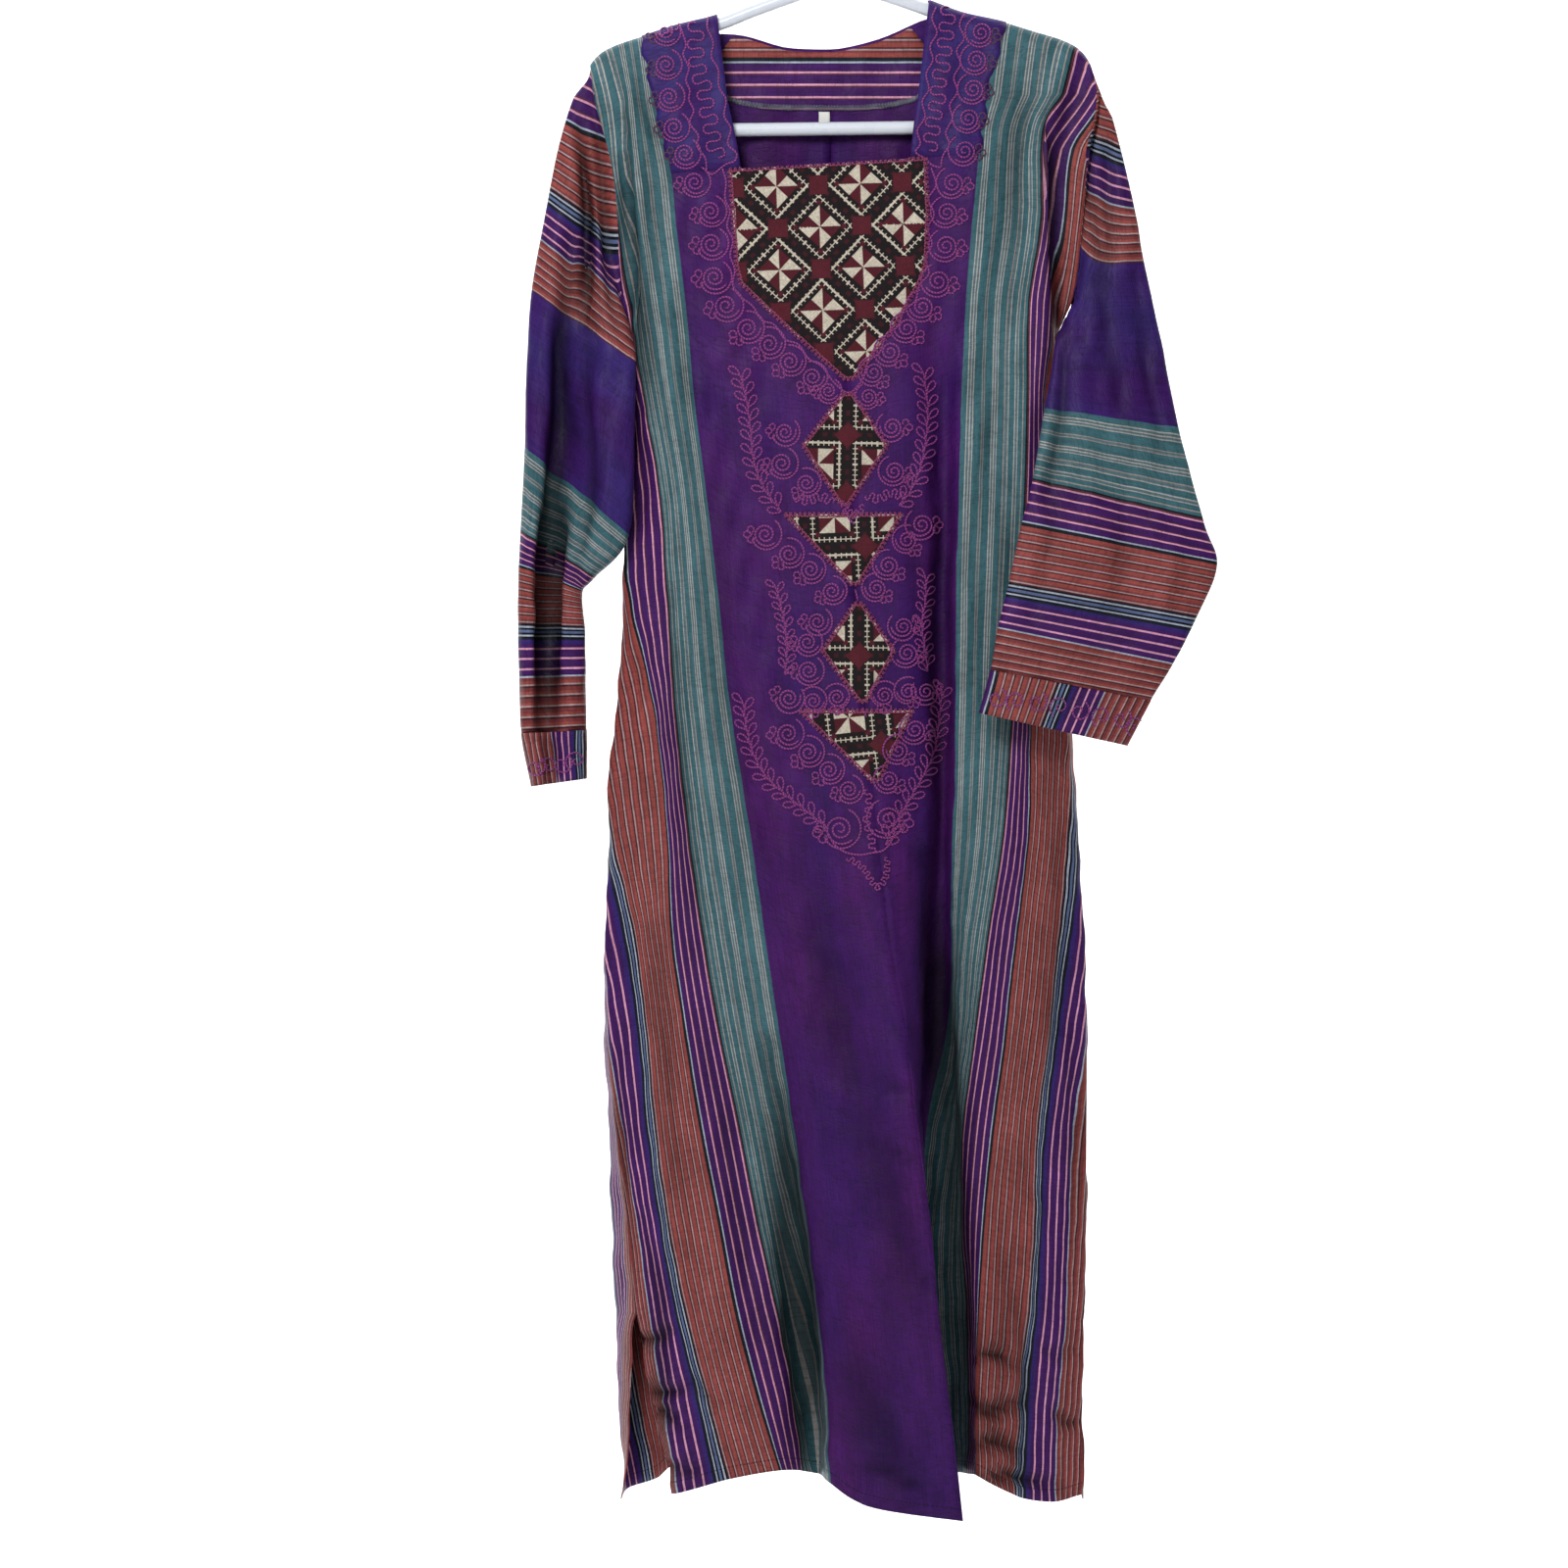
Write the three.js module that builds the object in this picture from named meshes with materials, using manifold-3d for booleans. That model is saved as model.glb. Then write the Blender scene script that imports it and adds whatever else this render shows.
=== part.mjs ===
// A striped, ankle-length kaftan dress hanging on a tubular plastic hanger.
// Millimetres, +Z up. The front faces -Y, and +X is to the right of a person who looks at it.
// The origin is the top of the hanger's hook on its inside, where a rail carries it.
import * as THREE from "three";
import { mergeVertices } from "three/addons/utils/BufferGeometryUtils.js";
import Module from "manifold-3d";

// Driving sizes
const CLOTH = 1.4; // wall of the panels, sleeves and cuffs
const LAID_CLOTH = 1; // wall of a piece that is laid on a panel
const SEAM_GAP = 0.3;
const HANG_GAP = 0.6; // between the hanger's tube and the cloth that rests on it
const LAID_GAP = 0.6; // under a piece that is laid on a panel
const TUBE_RADIUS = 6; // hanger tube
const HOOK_RADIUS = 4.5; // hook wire
const HOOK_BEND = 18; // inside radius of the hook
const NECKLINE = -254; // level of the square neck's lower edge
const UNDERARM = -409; // level where the sides start
const SLIT_TOP = -1273; // level where the side slits start
const HEM = -1431; // mean level of the hem
const NECK_TILT = 0.06; // the square neck runs up to the right by this share
const TILT_REACH = 80; // the tilt fades out this far above and below the neckline
const CENTRE_BACK = -7; // x of the back's centre seam
const ACROSS_STEPS = 2; // stations between two warp lines
const EDGE_BACK = SEAM_GAP * 0.7; // how far each edge of a seam draws back along its own section
const ARM_EDGE_OUT = 9; // how far the back's edge at the armhole stands out from the hanger's plane
const ARM_EDGE_FADE = 39; // height over which the back turns to that edge

// The warp lines that the sections run through, from the centre seam to the side.
// teal, pink, rust, white, plum and clay are where a stripe of that colour starts.
// Above the underarm plum is the edge at the armhole, and clay and side don't exist.
const LINES = ["seam", "neck", "tuck", "teal", "mid", "pink", "rust", "white", "plum", "clay", "side"];
const [SEAM, NECK, TUCK, , , , , , ARM, , SIDE] = LINES.keys();
const NECK_CORNER = TUCK * ACROSS_STEPS; // the back neck's last station

// Front, left width: where each line lies across, x in mm, one row for each level.
const LEFT_ACROSS = {
  // level: seam, neck, tuck, teal, mid, pink, rust, white, plum, clay, side
  crest: [-9, -108, -140, -171, -184, -194, -202, -211, -221],
  [-196]: [-9, -99, -136, -164, -175, -186, -191, -204, -217],
  [-226]: [-9, -92, -125, -156, -170, -184, -191, -198, -207],
  [-254]: [-9, -87, -120, -149, -165, -182, -190, -195, -200],
  [-309]: [-7, -79, -114, -144, -163, -181, -188, -192, -196],
  [-370]: [-3, -73, -107, -137, -158, -181, -187, -191, -194],
  [-409]: [2, -69, -103, -133, -157, -182, -186, -187, -186, -184, -180],
  [-457]: [8, -64, -98, -129, -151, -176, -184, -184, -183, -180, -175],
  [-544]: [12, -57, -90, -118, -138, -160, -186, -188, -187, -183, -178],
  [-631]: [14, -51, -81, -108, -130, -154, -188, -191, -190, -186, -180],
  [-735]: [23, -42, -70, -97, -122, -148, -165, -197, -197, -192, -186],
  [-848]: [34, -30, -56, -79, -109, -136, -153, -202, -205, -204, -199],
  [-935]: [44, -16, -42, -66, -95, -123, -150, -182, -191, -207, -205],
  [-1022]: [59, -1, -29, -53, -80, -108, -138, -171, -178, -202, -206],
  [-1109]: [70, 10, -17, -41, -64, -90, -124, -163, -170, -193, -198],
  [-1196]: [81, 21, -7, -31, -51, -73, -107, -151, -158, -180, -187],
  [-1273]: [88, 30, 3, -22, -38, -56, -93, -136, -144, -170, -180],
  [-1353]: [99, 38, 11, -13, -25, -39, -74, -117, -125, -159, -166],
  [-1431]: [109, 44, 17, -8, -18, -30, -53, -98, -109, -144, -148],
};

// Front, left width: how far each line stands in front of the hanger's plane, -y in mm.
const LEFT_FORWARD = {
  // level: seam, neck, tuck, teal, mid, pink, rust, white, plum, clay, side
  [-196]: [13, 12, 13, 14, 14, 15, 9, 9, 9],
  [-226]: [15, 14, 15, 16, 16, 18, 9, 9, 9],
  [-254]: [17, 17, 17, 18, 18, 20, 9, 9, 10],
  [-309]: [20, 20, 20, 20, 19, 21, 9, 8, 9],
  [-370]: [24, 23, 22, 22, 21, 22, 10, 6, 8],
  [-409]: [26, 25, 24, 23, 22, 22, 9, 4, 1, -3, -7],
  [-457]: [30, 28, 27, 26, 24, 22, 8, 1, -4, -7, -9],
  [-544]: [36, 32, 30, 28, 26, 23, 8, -1, -4, -8, -11],
  [-631]: [42, 36, 33, 30, 27, 23, 6, -4, -8, -12, -15],
  [-735]: [50, 41, 36, 32, 29, 25, 18, 1, -5, -11, -15],
  [-848]: [58, 46, 40, 34, 30, 25, 20, 6, -1, -9, -14],
  [-935]: [64, 50, 42, 35, 29, 25, 22, 14, 11, 0, -10],
  [-1022]: [70, 54, 45, 36, 28, 25, 23, 16, 13, 4, -5],
  [-1109]: [75, 58, 48, 38, 26, 24, 24, 18, 15, 8, 1],
  [-1196]: [80, 62, 51, 40, 21, 22, 25, 20, 17, 10, 5],
  [-1273]: [84, 66, 54, 42, 14, 20, 26, 22, 19, 13, 9],
  [-1353]: [89, 70, 58, 46, 8, 20, 28, 24, 22, 14, 11],
  [-1431]: [94, 74, 61, 50, 4, 21, 30, 27, 24, 16, 13],
};

// Front, right width. Here tuck and teal sink into the deep fold behind the centre ridge.
const RIGHT_ACROSS = {
  // level: seam, neck, tuck, teal, mid, pink, rust, white, plum, clay, side
  crest: [-9, 80, 108, 140, 165, 188, 200, 213, 225],
  [-196]: [-9, 70, 104, 132, 160, 188, 195, 212, 231],
  [-226]: [-9, 66, 99, 126, 155, 180, 185, 204, 228],
  [-254]: [-9, 64, 95, 124, 152, 180, 184, 198, 223],
  [-309]: [-7, 64, 92, 118, 150, 181, 185, 197, 216],
  [-370]: [-3, 64, 89, 113, 143, 171, 191, 198, 209],
  [-409]: [2, 66, 90, 111, 137, 169, 192, 195, 194, 191, 187],
  [-457]: [8, 69, 94, 109, 137, 169, 186, 195, 195, 192, 187],
  [-544]: [12, 73, 94, 106, 135, 167, 188, 196, 197, 194, 189],
  [-631]: [14, 75, 93, 104, 132, 163, 183, 197, 198, 196, 190],
  [-735]: [23, 75, 93, 103, 130, 156, 172, 198, 202, 203, 198],
  [-848]: [34, 77, 92, 101, 124, 147, 169, 204, 209, 213, 210],
  [-935]: [44, 77, 90, 98, 117, 134, 158, 197, 206, 217, 216],
  [-1022]: [59, 75, 84, 91, 105, 122, 149, 188, 195, 217, 220],
  [-1109]: [70, 75, 75, 78, 92, 109, 138, 177, 183, 208, 220],
  [-1196]: [81, 80, 73, 73, 87, 104, 129, 173, 178, 206, 219],
  [-1273]: [88, 85, 75, 73, 89, 108, 124, 169, 174, 203, 218],
  [-1353]: [99, 93, 82, 78, 96, 111, 120, 162, 168, 195, 216],
  [-1431]: [109, 103, 89, 82, 99, 112, 121, 157, 164, 193, 216],
};
const RIGHT_FORWARD = {
  // level: seam, neck, tuck, teal, mid, pink, rust, white, plum, clay, side
  [-196]: [13, 12, 13, 14, 13, 16, 14, 9, 10],
  [-226]: [15, 14, 15, 16, 13, 19, 19, 9, 10],
  [-254]: [17, 17, 17, 18, 14, 22, 24, 9, 11],
  [-309]: [20, 20, 19, 20, 15, 24, 26, 9, 9],
  [-370]: [24, 23, 21, 22, 16, 22, 26, 8, 7],
  [-409]: [26, 24, 19, 23, 17, 22, 22, 6, 1, -3, -7],
  [-457]: [30, 27, 15, 25, 20, 22, 20, 4, -2, -6, -9],
  [-544]: [36, 30, 13, 27, 22, 23, 18, 4, -2, -7, -10],
  [-631]: [42, 33, 11, 29, 24, 24, 18, 4, -3, -9, -14],
  [-735]: [50, 36, 10, 30, 26, 26, 20, 6, 0, -8, -14],
  [-848]: [58, 38, 8, 24, 28, 28, 22, 10, 5, -4, -13],
  [-935]: [64, 40, 7, 12, 28, 30, 24, 14, 9, -1, -12],
  [-1022]: [70, 42, 7, 6, 22, 32, 28, 17, 13, 3, -8],
  [-1109]: [75, 46, 10, 0, 18, 32, 32, 20, 16, 7, -4],
  [-1196]: [80, 50, 12, -3, 14, 32, 35, 23, 19, 10, -1],
  [-1273]: [84, 52, 14, -5, 12, 30, 38, 25, 21, 12, 1],
  [-1353]: [89, 55, 16, -6, 10, 28, 40, 27, 23, 14, 4],
  [-1431]: [94, 58, 18, -6, 8, 28, 42, 29, 25, 16, 6],
};

// The hem's own level at each line, where it dips and rises from its mean.
const HEM_LEVEL = {
  // seam, neck, tuck, teal, mid, pink, rust, white, plum, clay, side
  left: [-1455, -1447, -1440, -1424, -1417, -1413, -1413, -1421, -1424, -1434, -1434],
  right: [-1455, -1444, -1432, -1422, -1416, -1416, -1417, -1435, -1438, -1441, -1435],
  back: [-1434, -1433, -1434, -1435, -1434, -1433, -1435, -1436, -1437, -1438, -1440],
};
const DIP_STARTS = -1196;

// How the cloth turns over the hanger at the shoulders: below the crest, and out from its plane.
const CREST_TURN = [
  // drop, out; the last row is the back neck's edge
  [0, 0.15],
  [1.4, 5],
  [6, 8.6],
  [16, 10.2],
];

const TURN_ROOM = 24; // where the first section lies nearer than this to the crest, the turn is shorter

// Back: each line's share of the half width, and whether it is a ridge (+) or a valley (-).
const BACK_SHARE = [0, 0.18, 0.27, 0.36, 0.45, 0.55, 0.66, 0.79, 0.85, 1];
const BACK_RIDGE = [1, -0.9, 0.1, 1, 0.1, -1, 0.7, -0.8, -0.2, 0.5];
const BACK_TOP = {
  // x of the lines at the shoulders, where the back lies flat
  left: [CENTRE_BACK, -58, -108, -136, -160, -178, -190, -205, -221],
  right: [CENTRE_BACK, 36, 79, 108, 140, 168, 190, 210, 225],
};
const BACK_LEVELS = [
  // level, left edge, right edge, base y, fold depth
  [-196, -217, 231, 12, 0],
  [-254, -200, 223, 14, 2],
  [-309, -196, 216, 15, 4],
  [-370, -192, 207, 15, 7],
  [-409, -184, 192, 16, 10],
  [-544, -184, 196, 22, 17],
  [-631, -186, 198, 25, 21],
  [-848, -202, 213, 31, 27],
  [-1022, -206, 217, 35, 31],
  [-1109, -204, 217, 36, 33],
  [-1196, -201, 216, 37, 34],
  [-1273, -197, 215, 38, 35],
  [-1353, -196, 214, 39, 36],
  [-1431, -188, 212, 40, 37],
];
const BACK_FREE_EDGE = { left: -194, right: 217, y: 12 }; // the back's edge beside a slit, at the hem
const BACK_NECK = [
  // the scooped back neck, which starts behind the hanger's arms: x, level
  [-108, -138],
  [-84, -140],
  [-49, -150],
  [-20, -152],
  [3, -151],
  [38, -142],
  [70, -128],
  [79, -124],
];

// Sleeves: one row for each cross-section, from the armhole to the cuff's lower edge.
const SLEEVE_COLUMNS = "outX outZ inX inZ front back outY inY crease".split(" ");
const LEFT_SLEEVE = [
  [-221, -170, -194, -370, 9, 9, 0, 0, 0],
  [-235, -194, -193.5, -385, 11, 11, 0, 0, 1],
  [-249, -239, -192.5, -403, 13, 14, 1, 0, 3],
  [-261, -300, -192, -418, 16, 18, 2, 0, 6],
  [-273, -367, -191.5, -432, 20, 24, 3, 1, 10],
  [-277, -431, -192, -492, 24, 28, 4, 2, 14],
  [-279, -505, -193, -584, 28, 32, 5, 3, 18],
  [-283, -582, -219, -622, 32, 36, 6, 4, 22],
  [-284, -612, -229, -634, 34, 38, 6, 4, 24],
  [-285, -663, -227, -666, 34, 38, 6, 4, 24],
  [-284, -711, -225, -709, 32, 36, 6, 4, 22],
  [-282, -760, -224, -757, 30, 34, 6, 4, 20],
  [-273, -807, -224, -800, 28, 32, 6, 4, 18],
];
const RIGHT_SLEEVE = [
  [225, -172, 209, -370, 10, 9, 0, 0, 0],
  [242, -211, 208.7, -378, 11, 11, 0, -1, 0],
  [254, -257, 207.5, -385, 12, 12, -1, -4, 0],
  [263, -296, 206, -391, 13, 12, -3, -8, 0],
  [271, -342, 204, -400, 14, 11, -6, -14, 0],
  [286, -413, 198, -430, 14, 10, -14, -28, 1],
  [301, -489, 187, -465, 14, 10, -24, -38, 1],
  [323, -572, 171, -537, 14, 9, -30, -46, 2],
  [335, -611, 161, -576, 14, 9, -32, -48, 2],
  [317, -657, 150, -627, 14, 9, -34, -50, 2],
  [295, -700, 140, -668, 13, 9, -36, -51, 1],
  [276, -731, 134, -704, 12, 9, -38, -52, 1],
  [255, -771, 124, -742, 12, 9, -40, -53, 1],
];
const ARMHOLE_GAP = 0.9; // the sleeve's edge is straight between its points, the armhole's is curved
const SLEEVE_AROUND = 18; // stations round a sleeve
const ROUND_POWER = 0.5; // how full a sleeve's section is
const SEAM_POWER = 0.3; // how square it is at the armhole
const CREASE_AT = 0.42; // where the sleeve's front crease runs, as a share from outer to inner edge
const CREASE_WIDTH = 0.16;
const CUFF_SECTIONS = 2; // the last two rows bound the cuff
const CUFF_GAP = 0.42; // measured down the slanting seam

// The purple shoulder straps that are laid over the front, with their scalloped outer edge.
const STRAP = {
  // level, left outer x, right outer x
  levels: [-125, -152, -174, -196, -218, -240, -258],
  left: [-176, -170, -168, -163, -159, -153, -149],
  right: [146, 139, 135, 132, 129, 126, 124],
};
const SCALLOPS = 5;
const SCALLOP_DEPTH = 5;
const STRAP_COLUMNS = 7;

// The pieces of old cross-stitch cloth down the front: each outline as level, left x and right x.
const PATCHES = {
  chest_panel: [
    [-255, -97, 77],
    [-300, -94, 79],
    [-345, -91, 77],
    [-361, -87, 71],
    [-400, -46, 49],
    [-446, 5, 13],
  ],
  diamond_upper: [
    [-459, 4, 12],
    [-505, -32, 43],
    [-558, 2, 8],
  ],
  triangle_upper: [
    [-566, -48, 56],
    [-628, 11, 17],
  ],
  diamond_lower: [
    [-645, 14, 20],
    [-687, -15, 49],
    [-732, 18, 24],
  ],
  triangle_lower: [
    [-740, -35, 65],
    [-802, 29, 35],
  ],
};
const PATCH_ROW = 22; // the most that two of a patch's rows lie apart
const PATCH_HALF_COLUMNS = 4;

// The striped facing inside the back neck, and the blank size label under it.
const FACING = {
  // share down, left x, right x, level at the middle, level at the ends
  top: { left: -95, right: 64 },
  foot: { left: -112, right: 82, middle: -206, ends: -190 },
  below: 2.5, // how far under the neck's edge it starts
  columns: 12,
  rows: 4,
};
const LABEL = { left: -18, right: -8, top: -207.5, foot: -221 };

// Hanger: half of its outline, from the middle of the arms round the end to the bar.
const HANGER_TILT = 0.012;
const HANGER_ARM = [
  // across, level
  [0, -92],
  [35, -103],
  [78, -118],
  [107, -129],
  [143, -137.5],
  [170, -146],
  [195, -154],
  [208, -161],
  [216, -172],
  [218, -187],
  [212, -204],
  [198, -218],
  [178, -223],
];
const TUBE_SEGMENTS = 5; // half the number of the tube's sides
const ARCH_STEPS = 40;
const HOOK_STEPS = 20;
const HOOK_STEM = 30; // straight part above the arms
const HOOK_TURN = { from: 190, to: -50, step: 20 }; // degrees round the hook's bend
const HOOK_EASE = { across: 2, up: 8 }; // where the bend runs into the stem
const BAR_LAP = 6; // how far the bar runs into the arms' ends
const BAR_RADIUS = TUBE_RADIUS * 0.985;
const BAR_STEPS = 2;
const CREST_POINTS = 80; // points of the line where cloth rests on the arms

// Reads a row's value at any level between two rows, on a smooth curve through the rows.
function along(keys, values, at) {
  const last = keys.length - 1;
  const falling = keys[0] > keys[last];
  const inside = (k) => (falling ? at <= keys[k] : at >= keys[k]);
  if (!inside(0)) return values[0];
  if (inside(last)) return values[last];
  let k = 0;
  while (inside(k + 1)) k += 1;
  const slope = (i) => {
    const a = Math.max(i - 1, 0);
    const b = Math.min(i + 1, last);
    return (values[b] - values[a]) / (keys[b] - keys[a]);
  };
  const span = keys[k + 1] - keys[k];
  const t = (at - keys[k]) / span;
  const t2 = t * t;
  const t3 = t2 * t;
  return (
    values[k] * (2 * t3 - 3 * t2 + 1) +
    values[k + 1] * (3 * t2 - 2 * t3) +
    slope(k) * span * (t3 - 2 * t2 + t) +
    slope(k + 1) * span * (t3 - t2)
  );
}

const linear = (keys, values, at) => {
  const last = keys.length - 1;
  const rising = keys[last] > keys[0];
  const past = (k) => (rising ? at >= keys[k] : at <= keys[k]);
  if (!past(0)) return values[0];
  if (past(last)) return values[last];
  let k = 0;
  while (past(k + 1)) k += 1;
  const t = (at - keys[k]) / (keys[k + 1] - keys[k]);
  return THREE.MathUtils.lerp(values[k], values[k + 1], t);
};

// The hanger's arm, tilted, as points of the tube's centre line on one side (-1 left, 1 right).
const hangerPoints = (side) =>
  HANGER_ARM.map(([across, level]) => {
    const x = side * across;
    return new THREE.Vector3(x, 0, level + HANGER_TILT * x);
  });

// The line that the cloth's crest follows over the hanger, as [x, level] from left to right.
const crestLine = (() => {
  const reach = TUBE_RADIUS + HANG_GAP + CLOTH;
  const half = (side) => {
    const curve = new THREE.CatmullRomCurve3(hangerPoints(side), false, "centripetal");
    const found = [];
    for (let k = 0; k <= CREST_POINTS; k += 1) {
      const centre = curve.getPoint(k / CREST_POINTS);
      const tangent = curve.getTangent(k / CREST_POINTS);
      const x = centre.x - side * tangent.z * reach;
      if (found.length && side * x <= side * found.at(-1)[0]) break;
      found.push([x, centre.z + side * tangent.x * reach]);
    }
    return found;
  };
  return [...half(-1).reverse(), ...half(1).slice(1)];
})();
const crest = (x) =>
  linear(
    crestLine.map((p) => p[0]),
    crestLine.map((p) => p[1]),
    x,
  );

const levelsOf = (table) =>
  Object.keys(table)
    .filter((key) => key !== "crest")
    .map(Number)
    .sort((a, b) => b - a);
const TABLE_LEVELS = levelsOf(LEFT_FORWARD);

// A line's x or y at any level. Lines that only exist lower down keep their first value above.
function lineAt(table, line, level) {
  const keys = TABLE_LEVELS.filter((key) => table[key].length > line);
  return along(
    keys,
    keys.map((key) => table[key][line]),
    level,
  );
}

const WIDTHS = {
  left: { across: LEFT_ACROSS, forward: LEFT_FORWARD, sign: -1 },
  right: { across: RIGHT_ACROSS, forward: RIGHT_FORWARD, sign: 1 },
};

// The neck's tilt, added to a level that is near the neckline.
function tilted(x, level) {
  const fade = Math.max(0, 1 - Math.abs(level - NECKLINE) / TILT_REACH);
  return level + NECK_TILT * fade * (x - LEFT_ACROSS[NECKLINE][SEAM]);
}

function dipped(levels, line, level) {
  const share = Math.max(0, (level - DIP_STARTS) / (HEM - DIP_STARTS));
  return level + share * share * (levels[line] - HEM);
}

// One section of the front as points at the warp lines, at a level of the tables.
function frontSection(side, level) {
  const { across, forward } = WIDTHS[side];
  return LINES.map((_, line) => {
    const x = lineAt(across, line, level);
    const z = dipped(HEM_LEVEL[side], line, tilted(x, level));
    return new THREE.Vector3(x, -lineAt(forward, line, level), z);
  });
}

// One section of the back at a level of the tables.
function backSection(side, level) {
  const column = (k) =>
    along(
      BACK_LEVELS.map((row) => row[0]),
      BACK_LEVELS.map((row) => row[k]),
      level,
    );
  const edge = column(side === "left" ? 1 : 2);
  const base = column(3);
  const fold = column(4);
  const flat = THREE.MathUtils.smoothstep(level, UNDERARM, TABLE_LEVELS[0]);
  const points = BACK_SHARE.map((share, line) => {
    const hung = CENTRE_BACK + (edge - CENTRE_BACK) * share;
    const top = BACK_TOP[side][Math.min(line, ARM)];
    const x = THREE.MathUtils.lerp(hung, top, flat);
    return new THREE.Vector3(x, base + (fold / 2) * BACK_RIDGE[line], 0);
  });
  const front = frontSection(side, level);
  const atArm = THREE.MathUtils.smoothstep(level, UNDERARM, UNDERARM + ARM_EDGE_FADE);
  points[ARM].x = THREE.MathUtils.lerp(points[ARM].x, front[ARM].x, atArm);
  points[ARM].y = THREE.MathUtils.lerp(points[ARM].y, ARM_EDGE_OUT, atArm);
  const open = THREE.MathUtils.clamp((level - SLIT_TOP) / (HEM - SLIT_TOP), 0, 1);
  const sideEdge = front[SIDE].clone();
  sideEdge.x = THREE.MathUtils.lerp(front[SIDE].x, BACK_FREE_EDGE[side], Math.sqrt(open));
  sideEdge.y = THREE.MathUtils.lerp(front[SIDE].y, BACK_FREE_EDGE.y, Math.sqrt(open));
  points.push(sideEdge);
  points.forEach((p, line) => {
    p.z = dipped(HEM_LEVEL.back, line, line === SIDE && open === 0 ? level : tilted(p.x, level));
  });
  return points;
}

// How far the cloth stands out from the hanger's plane at a drop below the crest.
const turnOut = (drop) =>
  linear(
    CREST_TURN.map((row) => row[0]),
    CREST_TURN.map((row) => row[1]),
    drop,
  );

// The rows of a panel above the first table level: they turn over the hanger at the shoulder.
function crestRows(first, topX, isBack) {
  const topLine = topX.map((x) => new THREE.Vector3(x, 0, 0));
  const top = withStations(topLine, ARM + 1);
  const low = withStations(first, ARM + 1);
  return CREST_TURN.map(([drop], i) =>
    top.map((start, j) => {
      const isNeck = isBack && j < NECK_CORNER && i + 1 === CREST_TURN.length;
      const room = crest(start.x) - low[j].z;
      const fall = drop * Math.min(1, room / TURN_ROOM);
      const x = isNeck ? start.x : THREE.MathUtils.lerp(start.x, low[j].x, fall / room);
      const z = isNeck ? scoop(x) : crest(start.x) - fall;
      const out = turnOut(drop);
      return new THREE.Vector3(x, isBack ? out : -out, z);
    }),
  );
}

const scoop = (x) =>
  along(
    BACK_NECK.map((p) => p[0]),
    BACK_NECK.map((p) => p[1]),
    x,
  );

// Puts more stations between the warp lines, on a smooth curve through them.
function withStations(section, lines) {
  const curve = new THREE.CatmullRomCurve3(section.slice(0, lines), false, "centripetal");
  const count = (lines - 1) * ACROSS_STEPS;
  const points = [];
  for (let k = 0; k <= (LINES.length - 1) * ACROSS_STEPS; k += 1) {
    points.push(curve.getPoint(Math.min(1, k / count)));
  }
  return points;
}

// A whole panel as rows of stations, with the rows' levels beside them.
function panelRows(side, isBack) {
  const section = isBack ? backSection : frontSection;
  const topX = isBack ? BACK_TOP[side] : WIDTHS[side].across.crest;
  const first = section(side, TABLE_LEVELS[0]);
  const turn = crestRows(first, topX, isBack);
  const levels = [...CREST_TURN.map(([drop]) => 1 - drop), ...TABLE_LEVELS];
  const rest = TABLE_LEVELS.map((level) =>
    withStations(section(side, level), level > UNDERARM ? ARM + 1 : LINES.length),
  );
  return { rows: [...turn, ...rest], levels };
}

// Outward normals of a grid at its corners, from the cells that exist.
function gridNormals(rows, exists, closed, facing) {
  const normals = rows.map((row) => row.map(() => new THREE.Vector3()));
  const wide = rows[0].length;
  for (let i = 0; i + 1 < rows.length; i += 1) {
    for (let j = 0; j < (closed ? wide : wide - 1); j += 1) {
      if (!exists(i, j)) continue;
      const next = (j + 1) % wide;
      const a = new THREE.Vector3().subVectors(rows[i + 1][next], rows[i][j]);
      const b = new THREE.Vector3().subVectors(rows[i + 1][j], rows[i][next]);
      const normal = a.cross(b).multiplyScalar(facing).normalize();
      for (const [r, c] of [
        [i, j],
        [i, next],
        [i + 1, j],
        [i + 1, next],
      ]) {
        normals[r][c].add(normal);
      }
    }
  }
  normals.forEach((row) => row.forEach((n) => n.lengthSq() > 0 && n.normalize()));
  return normals;
}

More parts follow.
